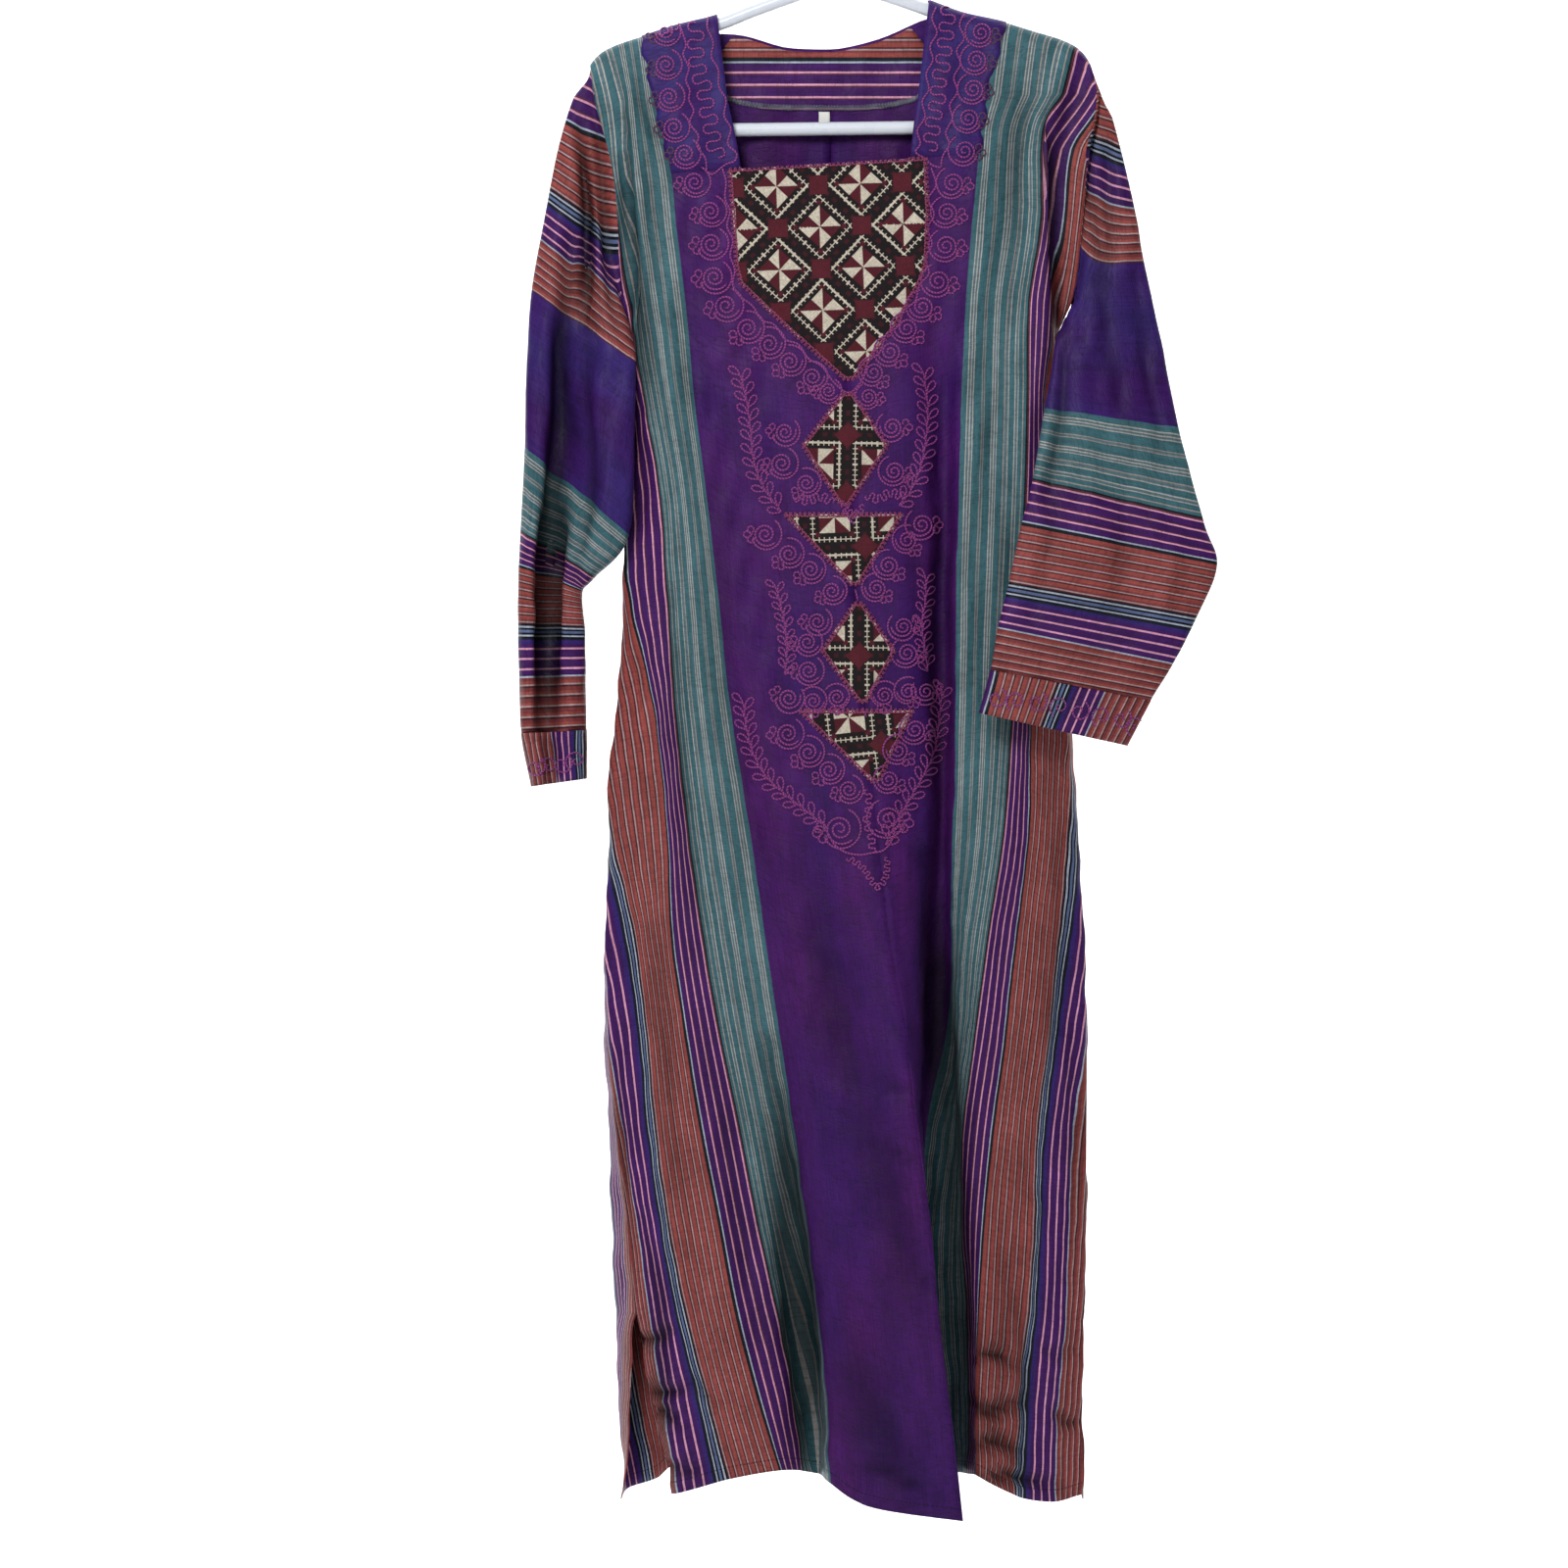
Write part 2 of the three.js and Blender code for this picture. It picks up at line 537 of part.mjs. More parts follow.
// A closed wall: the grid's points are its outer side, and the inner side lies inwards of it.
function wall(rows, exists, normals, thickness, closed, facing) {
  const wide = rows[0].length;
  const place = [];
  const index = new Map();
  const vertex = (i, j, inner) => {
    const key = (i * wide + j) * 2 + inner;
    if (!index.has(key)) {
      const p = rows[i][j].clone();
      if (inner) p.addScaledVector(normals[i][j], -thickness);
      index.set(key, place.length / 3);
      place.push(p.x, p.y, p.z);
    }
    return index.get(key);
  };
  const faces = [];
  const quad = (a, b, c, d) => {
    const order = facing > 0 ? [a, c, b, a, d, c] : [a, b, c, a, c, d];
    faces.push(...order);
  };
  const there = (i, j) => {
    const column = closed ? (j + wide) % wide : j;
    const inGrid = i >= 0 && i + 1 < rows.length && column >= 0 && (closed || column + 1 < wide);
    return inGrid && exists(i, column);
  };
  for (let i = 0; i + 1 < rows.length; i += 1) {
    for (let j = 0; j < (closed ? wide : wide - 1); j += 1) {
      if (!there(i, j)) continue;
      const n = (j + 1) % wide;
      const outer = [vertex(i, j, 0), vertex(i, n, 0), vertex(i + 1, n, 0), vertex(i + 1, j, 0)];
      const inner = [vertex(i, j, 1), vertex(i, n, 1), vertex(i + 1, n, 1), vertex(i + 1, j, 1)];
      quad(outer[0], outer[3], outer[2], outer[1]);
      quad(inner[0], inner[1], inner[2], inner[3]);
      if (!there(i - 1, j)) quad(outer[0], outer[1], inner[1], inner[0]);
      if (!there(i + 1, j)) quad(outer[2], outer[3], inner[3], inner[2]);
      if (!there(i, j - 1)) quad(outer[3], outer[0], inner[0], inner[3]);
      if (!there(i, j + 1)) quad(outer[1], outer[2], inner[2], inner[1]);
    }
  }
  const geometry = new THREE.BufferGeometry();
  geometry.setAttribute("position", new THREE.Float32BufferAttribute(place, 3));
  geometry.setIndex(faces);
  return geometry;
}

const finishes = {
  purple: new THREE.MeshStandardMaterial({ color: "#4b2170", roughness: 0.5, metalness: 0 }),
  striped: new THREE.MeshStandardMaterial({ color: "#4d6870", roughness: 0.55, metalness: 0 }),
  sleeve: new THREE.MeshStandardMaterial({ color: "#8a4f4c", roughness: 0.55, metalness: 0 }),
  stitched: new THREE.MeshStandardMaterial({ color: "#64202c", roughness: 0.85, metalness: 0 }),
  label: new THREE.MeshStandardMaterial({ color: "#e8e8e6", roughness: 0.6, metalness: 0 }),
  plastic: new THREE.MeshStandardMaterial({ color: "#e1e6ee", roughness: 0.3, metalness: 0 }),
};

const dress = new THREE.Group();
function addPiece(name, geometry, finish) {
  const mesh = new THREE.Mesh(geometry, finishes[finish].clone());
  mesh.name = name;
  dress.add(mesh);
}

// Panels: both fronts and both backs, joined at the centre, the sides and the shoulders.
const panels = {};
for (const side of ["left", "right"]) {
  for (const isBack of [false, true]) {
    const { rows, levels } = panelRows(side, isBack);
    const neckRow = levels.indexOf(NECKLINE);
    const armRow = levels.indexOf(UNDERARM);
    const neckColumn = NECK * ACROSS_STEPS;
    const armColumn = ARM * ACROSS_STEPS;
    const inNeck = (i, j) =>
      isBack ? j < NECK_CORNER && i + 1 < CREST_TURN.length : j < neckColumn && i < neckRow;
    const exists = (i, j) => !inNeck(i, j) && (j < armColumn || i >= armRow);
    const facing = (side === "left" ? 1 : -1) * (isBack ? -1 : 1);
    const normals = gridNormals(rows, exists, false, facing);
    panels[side + (isBack ? "Back" : "Front")] = { rows, levels, exists, normals, facing, armRow };
  }
  // At the crest both walls go straight down, and at the armhole they keep their edge's x.
  for (const panel of [panels[side + "Front"], panels[side + "Back"]]) {
    panel.normals[0].forEach((n) => n.set(0, 0, 1));
    panel.normals.slice(1, panel.armRow).forEach((row) => {
      row[ARM * ACROSS_STEPS].setX(0).normalize();
    });
  }
}

// At a seam two panels share the direction of their walls, and each edge draws back a little.
function joinPanels(one, two, column, next, isJoined) {
  one.levels.forEach((level, i) => {
    if (!isJoined(level, i)) return;
    const shared = one.normals[i][column].clone().add(two.normals[i][column]).normalize();
    const lift = 1 / Math.max(0.5, shared.dot(one.normals[i][column]));
    for (const panel of [one, two]) {
      panel.normals[i][column].copy(shared).multiplyScalar(lift);
      const row = panel.rows[i];
      const inwards = new THREE.Vector3().subVectors(row[next], row[column]).setZ(0).normalize();
      row[column] = row[column].clone().addScaledVector(inwards, EDGE_BACK);
    }
  });
}
const lastColumn = (LINES.length - 1) * ACROSS_STEPS;
joinPanels(panels.leftFront, panels.rightFront, 0, 1, (level) => level <= NECKLINE);
joinPanels(panels.leftBack, panels.rightBack, 0, 1, () => true);
for (const side of ["left", "right"]) {
  const isJoined = (level, i) => i >= panels[side + "Front"].armRow && level >= SLIT_TOP;
  joinPanels(panels[side + "Front"], panels[side + "Back"], lastColumn, lastColumn - 1, isJoined);
}
for (const [name, key] of [
  ["front_left", "leftFront"],
  ["front_right", "rightFront"],
  ["back_left", "leftBack"],
  ["back_right", "rightBack"],
]) {
  const { rows, exists, normals, facing } = panels[key];
  addPiece(name, wall(rows, exists, normals, CLOTH, false, facing), "striped");
}

// Sleeves and cuffs
// The armhole's edge on a panel, as the x that it has at a level.
function armholeAt(panel, level) {
  const edge = panel.rows.slice(0, panel.armRow).map((row) => row[ARM * ACROSS_STEPS]);
  return linear(
    edge.map((p) => p.z),
    edge.map((p) => p.x),
    level,
  );
}

function sleeveRow(side, values, isSeam) {
  const row = Object.fromEntries(SLEEVE_COLUMNS.map((name, k) => [name, values[k]]));
  const points = [];
  for (let k = 0; k < SLEEVE_AROUND; k += 1) {
    const angle = (k / SLEEVE_AROUND) * 2 * Math.PI;
    const share = (1 - Math.cos(angle)) / 2;
    const z = THREE.MathUtils.lerp(row.outZ, row.inZ, share);
    const gap = ARMHOLE_GAP * (side === "left" ? -1 : 1);
    const panel = panels[side + (angle <= Math.PI ? "Front" : "Back")];
    const x = isSeam ? armholeAt(panel, z) + gap : THREE.MathUtils.lerp(row.outX, row.inX, share);
    const full = Math.abs(Math.sin(angle)) ** (isSeam ? SEAM_POWER : ROUND_POWER);
    const isFront = angle < Math.PI;
    const fold = Math.exp(-(((share - CREASE_AT) / CREASE_WIDTH) ** 2)) * row.crease;
    const middle = THREE.MathUtils.lerp(row.outY, row.inY, share);
    const y = middle + (isFront ? fold - row.front * full : row.back * full - fold / 2);
    points.push(new THREE.Vector3(x, y, z));
  }
  return points;
}

function betweenRows(table, k, share) {
  const at = k + share;
  const keys = table.map((_, i) => i);
  return SLEEVE_COLUMNS.map((_, column) =>
    along(
      keys,
      table.map((row) => row[column]),
      at,
    ),
  );
}

const everyCell = () => true;
function addTube(name, side, values, startsAtSeam, finish) {
  const rows = values.map((row, k) => sleeveRow(side, row, startsAtSeam && k === 0));
  const facing = side === "left" ? 1 : -1;
  const normals = gridNormals(rows, everyCell, true, -facing);
  if (startsAtSeam) normals[0].forEach((n) => n.setX(0).normalize());
  addPiece(name, wall(rows, everyCell, normals, CLOTH, true, -facing), finish);
}

for (const [side, table] of [
  ["left", LEFT_SLEEVE],
  ["right", RIGHT_SLEEVE],
]) {
  const cuffStart = table.length - CUFF_SECTIONS;
  const sleeve = [];
  for (let k = 0; k <= cuffStart; k += 1) sleeve.push(betweenRows(table, k, 0));
  addTube("sleeve_" + side, side, sleeve, true, "sleeve");
  const cuffLength = table[cuffStart][1] - table[cuffStart + 1][1];
  const shares = [CUFF_GAP / cuffLength, 0.5, 1];
  addTube(
    "cuff_" + side,
    side,
    shares.map((share) => betweenRows(table, cuffStart, share)),
    false,
    "purple",
  );
}

// Reads the y and z that a panel's row of stations has at some x.
function onRow(row, x) {
  const rising = row[row.length - 1].x > row[0].x;
  for (let j = 0; j + 1 < row.length; j += 1) {
    const [a, b] = [row[j], row[j + 1]];
    const isPast = rising ? x <= b.x : x >= b.x;
    if (isPast) {
      const span = b.x - a.x;
      const t = Math.abs(span) < 1e-6 ? 0 : THREE.MathUtils.clamp((x - a.x) / span, 0, 1);
      return new THREE.Vector3(x, THREE.MathUtils.lerp(a.y, b.y, t), THREE.MathUtils.lerp(a.z, b.z, t));
    }
  }
  const end = row[row.length - 1];
  return new THREE.Vector3(x, end.y, end.z);
}

// Reads the front's y at a place, from the panel rows above and below it.
function frontAt(x, level) {
  const panel = x < seamX(level) ? panels.leftFront : panels.rightFront;
  const stations = panel.rows.map((row) => onRow(row, x));
  for (let i = 0; i + 1 < stations.length; i += 1) {
    const [a, b] = [stations[i], stations[i + 1]];
    if (level <= a.z && level >= b.z) {
      return THREE.MathUtils.lerp(a.y, b.y, (level - a.z) / (b.z - a.z));
    }
  }
  return stations[stations.length - 1].y;
}
const seamX = (level) => lineAt(LEFT_ACROSS, SEAM, level);

// A piece laid on a panel: its grid is on the panel, and is moved out along its own normals.
function addLaid(name, rows, facing, finish) {
  const normals = gridNormals(rows, everyCell, false, facing);
  const outer = rows.map((row, i) =>
    row.map((p, j) => p.clone().addScaledVector(normals[i][j], LAID_GAP + LAID_CLOTH)),
  );
  addPiece(name, wall(outer, everyCell, normals, LAID_CLOTH, false, facing), finish);
}

// Shoulder straps
for (const [side, sign] of [
  ["left", -1],
  ["right", 1],
]) {
  const panel = panels[side + "Front"];
  const neckRow = panel.levels.indexOf(NECKLINE);
  const rows = panel.rows.slice(0, neckRow + 1).map((row) => {
    const inner = row[NECK * ACROSS_STEPS].x;
    const level = onRow(row, inner).z;
    const share = (level - NECKLINE) / (STRAP.levels[0] - NECKLINE);
    const bulge = Math.abs(Math.sin(share * SCALLOPS * Math.PI)) - 0.5;
    const outer = along(STRAP.levels, STRAP[side], level) + sign * SCALLOP_DEPTH * bulge;
    const points = [];
    for (let j = 0; j <= STRAP_COLUMNS; j += 1) {
      points.push(onRow(row, THREE.MathUtils.lerp(inner, outer, j / STRAP_COLUMNS)));
    }
    return points;
  });
  addLaid("yoke_" + side, rows, side === "left" ? 1 : -1, "purple");
}

// Cross-stitch patches, with a column of points on the centre ridge wherever it passes under them
for (const [name, outline] of Object.entries(PATCHES)) {
  const keys = outline.map((row) => row[0]);
  const rows = [];
  const levels = keys.flatMap((key, k) => {
    if (k + 1 === keys.length) return [key];
    const steps = Math.ceil((key - keys[k + 1]) / PATCH_ROW);
    return Array.from({ length: steps }, (_, s) => key + ((keys[k + 1] - key) * s) / steps);
  });
  for (const level of levels) {
    const left = linear(keys, outline.map((row) => row[1]), level);
    const right = linear(keys, outline.map((row) => row[2]), level);
    const ridge = THREE.MathUtils.clamp(seamX(level), left + 1, right - 1);
    const row = [];
    for (let j = -PATCH_HALF_COLUMNS; j <= PATCH_HALF_COLUMNS; j += 1) {
      const end = j < 0 ? left : right;
      const x = THREE.MathUtils.lerp(ridge, end, Math.abs(j) / PATCH_HALF_COLUMNS);
      const z = tilted(x, level);
      row.push(new THREE.Vector3(x, frontAt(x, z), z));
    }
    rows.push(row);
  }
  addLaid(name, rows, -1, "stitched");
}

// Facing and label lie on the back's inner side.
function backInner(x, level) {
  const panel = x < CENTRE_BACK ? panels.leftBack : panels.rightBack;
  const stations = panel.rows.map((row) => onRow(row, x));
  for (let i = 0; i + 1 < stations.length; i += 1) {
    const [a, b] = [stations[i], stations[i + 1]];
    if (level <= a.z && level >= b.z) {
      return THREE.MathUtils.lerp(a.y, b.y, (level - a.z) / (b.z - a.z)) - CLOTH;
    }
  }
  return stations[0].y - CLOTH;
}

const facingRows = [];
for (let i = 0; i <= FACING.rows; i += 1) {
  const down = i / FACING.rows;
  const left = THREE.MathUtils.lerp(FACING.top.left, FACING.foot.left, Math.min(1, down * 2));
  const right = THREE.MathUtils.lerp(FACING.top.right, FACING.foot.right, Math.min(1, down * 2));
  const row = [];
  for (let j = 0; j <= FACING.columns; j += 1) {
    const x = THREE.MathUtils.lerp(left, right, j / FACING.columns);
    const bow = (2 * j) / FACING.columns - 1;
    const foot = THREE.MathUtils.lerp(FACING.foot.middle, FACING.foot.ends, bow ** 4);
    const top = scoop(x) - FACING.below;
    const z = THREE.MathUtils.lerp(top, foot, down);
    row.push(new THREE.Vector3(x, backInner(x, z), z));
  }
  facingRows.push(row);
}
addLaid("facing_back_neck", facingRows, -1, "striped");

const labelRows = [LABEL.top, LABEL.foot].map((z) =>
  [LABEL.left, LABEL.right].map((x) => new THREE.Vector3(x, backInner(x, z), z)),
);
addLaid("label_blank", labelRows, -1, "label");

// Hanger: arms, round ends, bar and hook, joined into one body
const wasm = await Module();
wasm.setup();

function asSolid(geometry) {
  const bare = geometry.clone();
  bare.deleteAttribute("normal");
  bare.deleteAttribute("uv");
  const merged = mergeVertices(bare, 1e-4);
  return new wasm.Manifold(
    new wasm.Mesh({
      numProp: 3,
      vertProperties: merged.attributes.position.array,
      triVerts: new Uint32Array(merged.index.array),
    }),
  );
}

function asGeometry(solid) {
  const mesh = solid.getMesh();
  const geometry = new THREE.BufferGeometry();
  geometry.setAttribute("position", new THREE.BufferAttribute(mesh.vertProperties, 3));
  geometry.setIndex(new THREE.BufferAttribute(mesh.triVerts, 1));
  return geometry;
}

function tube(points, radius, steps) {
  const section = new THREE.Shape();
  section.absarc(0, 0, radius, 0, 2 * Math.PI, false);
  return new THREE.ExtrudeGeometry(section, {
    extrudePath: new THREE.CatmullRomCurve3(points, false, "centripetal"),
    steps,
    curveSegments: TUBE_SEGMENTS,
  });
}

const leftArm = hangerPoints(-1);
const rightArm = hangerPoints(1);
const barEnds = [leftArm.at(-1), rightArm.at(-1)];
const arch = tube([...leftArm.slice(1).reverse(), ...rightArm], TUBE_RADIUS, ARCH_STEPS);
const bar = tube(
  barEnds.map((p, k) => p.clone().add(new THREE.Vector3(k ? BAR_LAP : -BAR_LAP, 0, 0))),
  BAR_RADIUS,
  BAR_STEPS,
);
const bend = HOOK_BEND + HOOK_RADIUS;
const hookPoints = [];
for (let degrees = HOOK_TURN.from; degrees >= HOOK_TURN.to; degrees -= HOOK_TURN.step) {
  const angle = THREE.MathUtils.degToRad(degrees);
  hookPoints.push(new THREE.Vector3(bend * Math.cos(angle), 0, bend * Math.sin(angle) - HOOK_BEND));
}
const stemTop = HANGER_ARM[0][1] + HOOK_STEM;
hookPoints.push(new THREE.Vector3(HOOK_EASE.across, 0, stemTop + HOOK_EASE.up));
hookPoints.push(new THREE.Vector3(0, 0, stemTop));
hookPoints.push(new THREE.Vector3(0, 0, HANGER_ARM[0][1]));
const hook = tube(hookPoints, HOOK_RADIUS, HOOK_STEPS);
const hanger = asSolid(arch).add(asSolid(bar)).add(asSolid(hook));
addPiece("hanger", asGeometry(hanger), "plastic");

export default dress;
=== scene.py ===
"""A striped, embroidered kaftan dress on a tubular hanger: its visible model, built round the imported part.

The front faces -Y, +X is to the right of a person who looks at it, and the origin is the hook's inside top.
Tables and sizes are in millimetres, and meshes are in metres.
"""

import math

import bmesh
import bpy
import numpy as np
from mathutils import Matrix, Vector, noise
from mathutils.bvhtree import BVHTree


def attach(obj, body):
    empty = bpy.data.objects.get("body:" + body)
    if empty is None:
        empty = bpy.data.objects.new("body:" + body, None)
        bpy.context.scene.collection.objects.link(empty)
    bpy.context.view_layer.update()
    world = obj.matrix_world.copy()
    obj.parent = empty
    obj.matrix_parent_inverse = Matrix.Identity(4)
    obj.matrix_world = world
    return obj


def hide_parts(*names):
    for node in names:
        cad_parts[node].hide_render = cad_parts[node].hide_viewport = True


bl_info = {
    "name": "Kaftan dress on a hanger",
    "version": (1, 0, 0),
    "blender": (4, 5, 0),
    "location": "3D View > Sidebar > Kaftan",
    "description": "Builds a striped, embroidered kaftan dress on its hanger",
    "category": "Object",
}

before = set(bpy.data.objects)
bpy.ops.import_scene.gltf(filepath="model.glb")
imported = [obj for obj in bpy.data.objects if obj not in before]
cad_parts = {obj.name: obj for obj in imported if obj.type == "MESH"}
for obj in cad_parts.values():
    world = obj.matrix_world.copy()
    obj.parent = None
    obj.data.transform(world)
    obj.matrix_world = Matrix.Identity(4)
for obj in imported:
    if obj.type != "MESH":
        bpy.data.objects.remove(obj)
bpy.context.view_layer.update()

MM = 0.001

# Levels of the dress
NECKLINE = -254
UNDERARM = -409
SLIT_TOP = -1273
HEM = -1431
NECK_TILT = 0.06  # the square neck runs up to the right by this share
TILT_REACH = 80
CENTRE_BACK = -7
ARM_EDGE_OUT = 9  # the back's edge at the armhole, out from the hanger's plane
UNDERARM_FADE = 90  # the back's sides ease over this much below the underarm
DIP_STARTS = -1196

# Columns of the panels' tables: warp lines from the centre seam to the side
LINES = ["seam", "neck", "tuck", "teal", "mid", "pink", "rust", "white", "plum", "clay", "side"]
SEAM, NECK, TUCK, TEAL, MID, PINK, RUST, WHITE, ARM, CLAY, SIDE = range(len(LINES))
STATIONS = 6  # columns of the mesh between two warp lines
ROW_STEP = 8  # most height between two rows of the mesh

LEFT_ACROSS = {
    # level: seam, neck, tuck, teal, mid, pink, rust, white, plum, clay, side
    -196: [-9, -99, -136, -164, -175, -186, -191, -204, -217],
    -226: [-9, -92, -125, -156, -170, -184, -191, -198, -207],
    -254: [-9, -87, -120, -149, -165, -182, -190, -195, -200],
    -309: [-7, -79, -114, -144, -163, -181, -188, -192, -196],
    -370: [-3, -73, -107, -137, -158, -181, -187, -191, -194],
    -409: [2, -69, -103, -133, -157, -182, -186, -187, -186, -184, -180],
    -457: [8, -64, -98, -129, -151, -176, -184, -184, -183, -180, -175],
    -544: [12, -57, -90, -118, -138, -160, -186, -188, -187, -183, -178],
    -631: [14, -51, -81, -108, -130, -154, -188, -191, -190, -186, -180],
    -735: [23, -42, -70, -97, -122, -148, -165, -197, -197, -192, -186],
    -848: [34, -30, -56, -79, -109, -136, -153, -202, -205, -204, -199],
    -935: [44, -16, -42, -66, -95, -123, -150, -182, -191, -207, -205],
    -1022: [59, -1, -29, -53, -80, -108, -138, -171, -178, -202, -206],
    -1109: [70, 10, -17, -41, -64, -90, -124, -163, -170, -193, -198],
    -1196: [81, 21, -7, -31, -51, -73, -107, -151, -158, -180, -187],
    -1273: [88, 30, 3, -22, -38, -56, -93, -136, -144, -170, -180],
    -1353: [99, 38, 11, -13, -25, -39, -74, -117, -125, -159, -166],
    -1431: [109, 44, 17, -8, -18, -30, -53, -98, -109, -144, -148],
}
LEFT_FORWARD = {
    -196: [13, 12, 13, 14, 14, 15, 9, 9, 9],
    -226: [15, 14, 15, 16, 16, 18, 9, 9, 9],
    -254: [17, 17, 17, 18, 18, 20, 9, 9, 10],
    -309: [20, 20, 20, 20, 19, 21, 9, 8, 9],
    -370: [24, 23, 22, 22, 21, 22, 10, 6, 8],
    -409: [26, 25, 24, 23, 22, 22, 9, 4, 1, -3, -7],
    -457: [30, 28, 27, 26, 24, 22, 8, 1, -4, -7, -9],
    -544: [36, 32, 30, 28, 26, 23, 8, -1, -4, -8, -11],
    -631: [42, 36, 33, 30, 27, 23, 6, -4, -8, -12, -15],
    -735: [50, 41, 36, 32, 29, 25, 18, 1, -5, -11, -15],
    -848: [58, 46, 40, 34, 30, 25, 20, 6, -1, -9, -14],
    -935: [64, 50, 42, 35, 29, 25, 22, 14, 11, 0, -10],
    -1022: [70, 54, 45, 36, 28, 25, 23, 16, 13, 4, -5],
    -1109: [75, 58, 48, 38, 26, 24, 24, 18, 15, 8, 1],
    -1196: [80, 62, 51, 40, 21, 22, 25, 20, 17, 10, 5],
    -1273: [84, 66, 54, 42, 14, 20, 26, 22, 19, 13, 9],
    -1353: [89, 70, 58, 46, 8, 20, 28, 24, 22, 14, 11],
    -1431: [94, 74, 61, 50, 4, 21, 30, 27, 24, 16, 13],
}
# Here tuck and teal sink into the deep fold behind the centre ridge.
RIGHT_ACROSS = {
    -196: [-9, 70, 104, 132, 160, 188, 195, 212, 231],
    -226: [-9, 66, 99, 126, 155, 180, 185, 204, 228],
    -254: [-9, 64, 95, 124, 152, 180, 184, 198, 223],
    -309: [-7, 64, 92, 118, 150, 181, 185, 197, 216],
    -370: [-3, 64, 89, 113, 143, 171, 191, 198, 209],
    -409: [2, 66, 90, 111, 137, 169, 192, 195, 194, 191, 187],
    -457: [8, 69, 94, 109, 137, 169, 186, 195, 195, 192, 187],
    -544: [12, 73, 94, 106, 135, 167, 188, 196, 197, 194, 189],
    -631: [14, 75, 93, 104, 132, 163, 183, 197, 198, 196, 190],
    -735: [23, 75, 93, 103, 130, 156, 172, 198, 202, 203, 198],
    -848: [34, 77, 92, 101, 124, 147, 169, 204, 209, 213, 210],
    -935: [44, 77, 90, 98, 117, 134, 158, 197, 206, 217, 216],
    -1022: [59, 75, 84, 91, 105, 122, 149, 188, 195, 217, 220],
    -1109: [70, 75, 75, 78, 92, 109, 138, 177, 183, 208, 220],
    -1196: [81, 80, 73, 73, 87, 104, 129, 173, 178, 206, 219],
    -1273: [88, 85, 75, 73, 89, 108, 124, 169, 174, 203, 218],
    -1353: [99, 93, 82, 78, 96, 111, 120, 162, 168, 195, 216],
    -1431: [109, 103, 89, 82, 99, 112, 121, 157, 164, 193, 216],
}
RIGHT_FORWARD = {
    -196: [13, 12, 13, 14, 13, 16, 14, 9, 10],
    -226: [15, 14, 15, 16, 13, 19, 19, 9, 10],
    -254: [17, 17, 17, 18, 14, 22, 24, 9, 11],
    -309: [20, 20, 19, 20, 15, 24, 26, 9, 9],
    -370: [24, 23, 21, 22, 16, 22, 26, 8, 7],
    -409: [26, 24, 19, 23, 17, 22, 22, 6, 1, -3, -7],
    -457: [30, 27, 15, 25, 20, 22, 20, 4, -2, -6, -9],
    -544: [36, 30, 13, 27, 22, 23, 18, 4, -2, -7, -10],
    -631: [42, 33, 11, 29, 24, 24, 18, 4, -3, -9, -14],
    -735: [50, 36, 10, 30, 26, 26, 20, 6, 0, -8, -14],
    -848: [58, 38, 8, 24, 28, 28, 22, 10, 5, -4, -13],
    -935: [64, 40, 7, 12, 28, 30, 24, 14, 9, -1, -12],
    -1022: [70, 42, 7, 6, 22, 32, 28, 17, 13, 3, -8],
    -1109: [75, 46, 10, 0, 18, 32, 32, 20, 16, 7, -4],
    -1196: [80, 50, 12, -3, 14, 32, 35, 23, 19, 10, -1],
    -1273: [84, 52, 14, -5, 12, 30, 38, 25, 21, 12, 1],
    -1353: [89, 55, 16, -6, 10, 28, 40, 27, 23, 14, 4],
    -1431: [94, 58, 18, -6, 8, 28, 42, 29, 25, 16, 6],
}

# Width of cloth from the centre seam to each line, mm along the weft, for the levels where it changes
LEFT_WEFT = {
    # level: teal, pink, rust, white, plum, clay, side
    -130: [129, 166, 175, 184, 194],
    -196: [129, 168, 178, 188, 198],
    -254: [129, 170, 180, 186, 192],
    -309: [129, 176, 188, 195, 201],
    -370: [129, 188, 198, 204, 209],
    -409: [129, 199, 208, 213, 218, 224, 232],
    -457: [129, 202.5, 222, 230, 234, 238, 244],
    -544: [129, 202.5, 234, 242, 246, 252, 258],
    -631: [129, 202.5, 242, 250, 254, 262, 272],
    -735: [129, 202.5, 242, 272, 276, 284, 294],
    -848: [129, 202.5, 242, 294.6, 300, 306, 314],
    -935: [129, 202.5, 242, 294.6, 306.6, 320, 326],
    -1022: [129, 202.5, 242, 294.6, 306.6, 332, 338],
    -1196: [129, 202.5, 242, 294.6, 306.6, 338, 355],
    -1431: [129, 202.5, 242, 294.6, 306.6, 338, 373],
}
RIGHT_WEFT = {
    -130: [129, 177, 189, 202, 214],
    -196: [129, 190, 197, 212, 232],
    -254: [129, 202.5, 210, 230, 256],
    -309: [129, 202.5, 215, 235, 260],
    -370: [129, 202.5, 235, 248, 262],
    -409: [129, 202.5, 242, 250, 256, 262, 268],
    -457: [129, 202.5, 242, 254, 262, 266, 270],
    -544: [129, 202.5, 242, 258, 264, 270, 276],
    -631: [129, 202.5, 242, 262, 268, 276, 284],
    -735: [129, 202.5, 242, 276, 282, 290, 300],
    -848: [129, 202.5, 242, 294.6, 300, 308, 316],
    -935: [129, 202.5, 242, 294.6, 306.6, 320, 326],
    -1022: [129, 202.5, 242, 294.6, 306.6, 332, 338],
    -1196: [129, 202.5, 242, 294.6, 306.6, 338, 355],
    -1431: [129, 202.5, 242, 294.6, 306.6, 338, 373],
}
WEFT_LINES = [TEAL, PINK, RUST, WHITE, ARM, CLAY, SIDE]
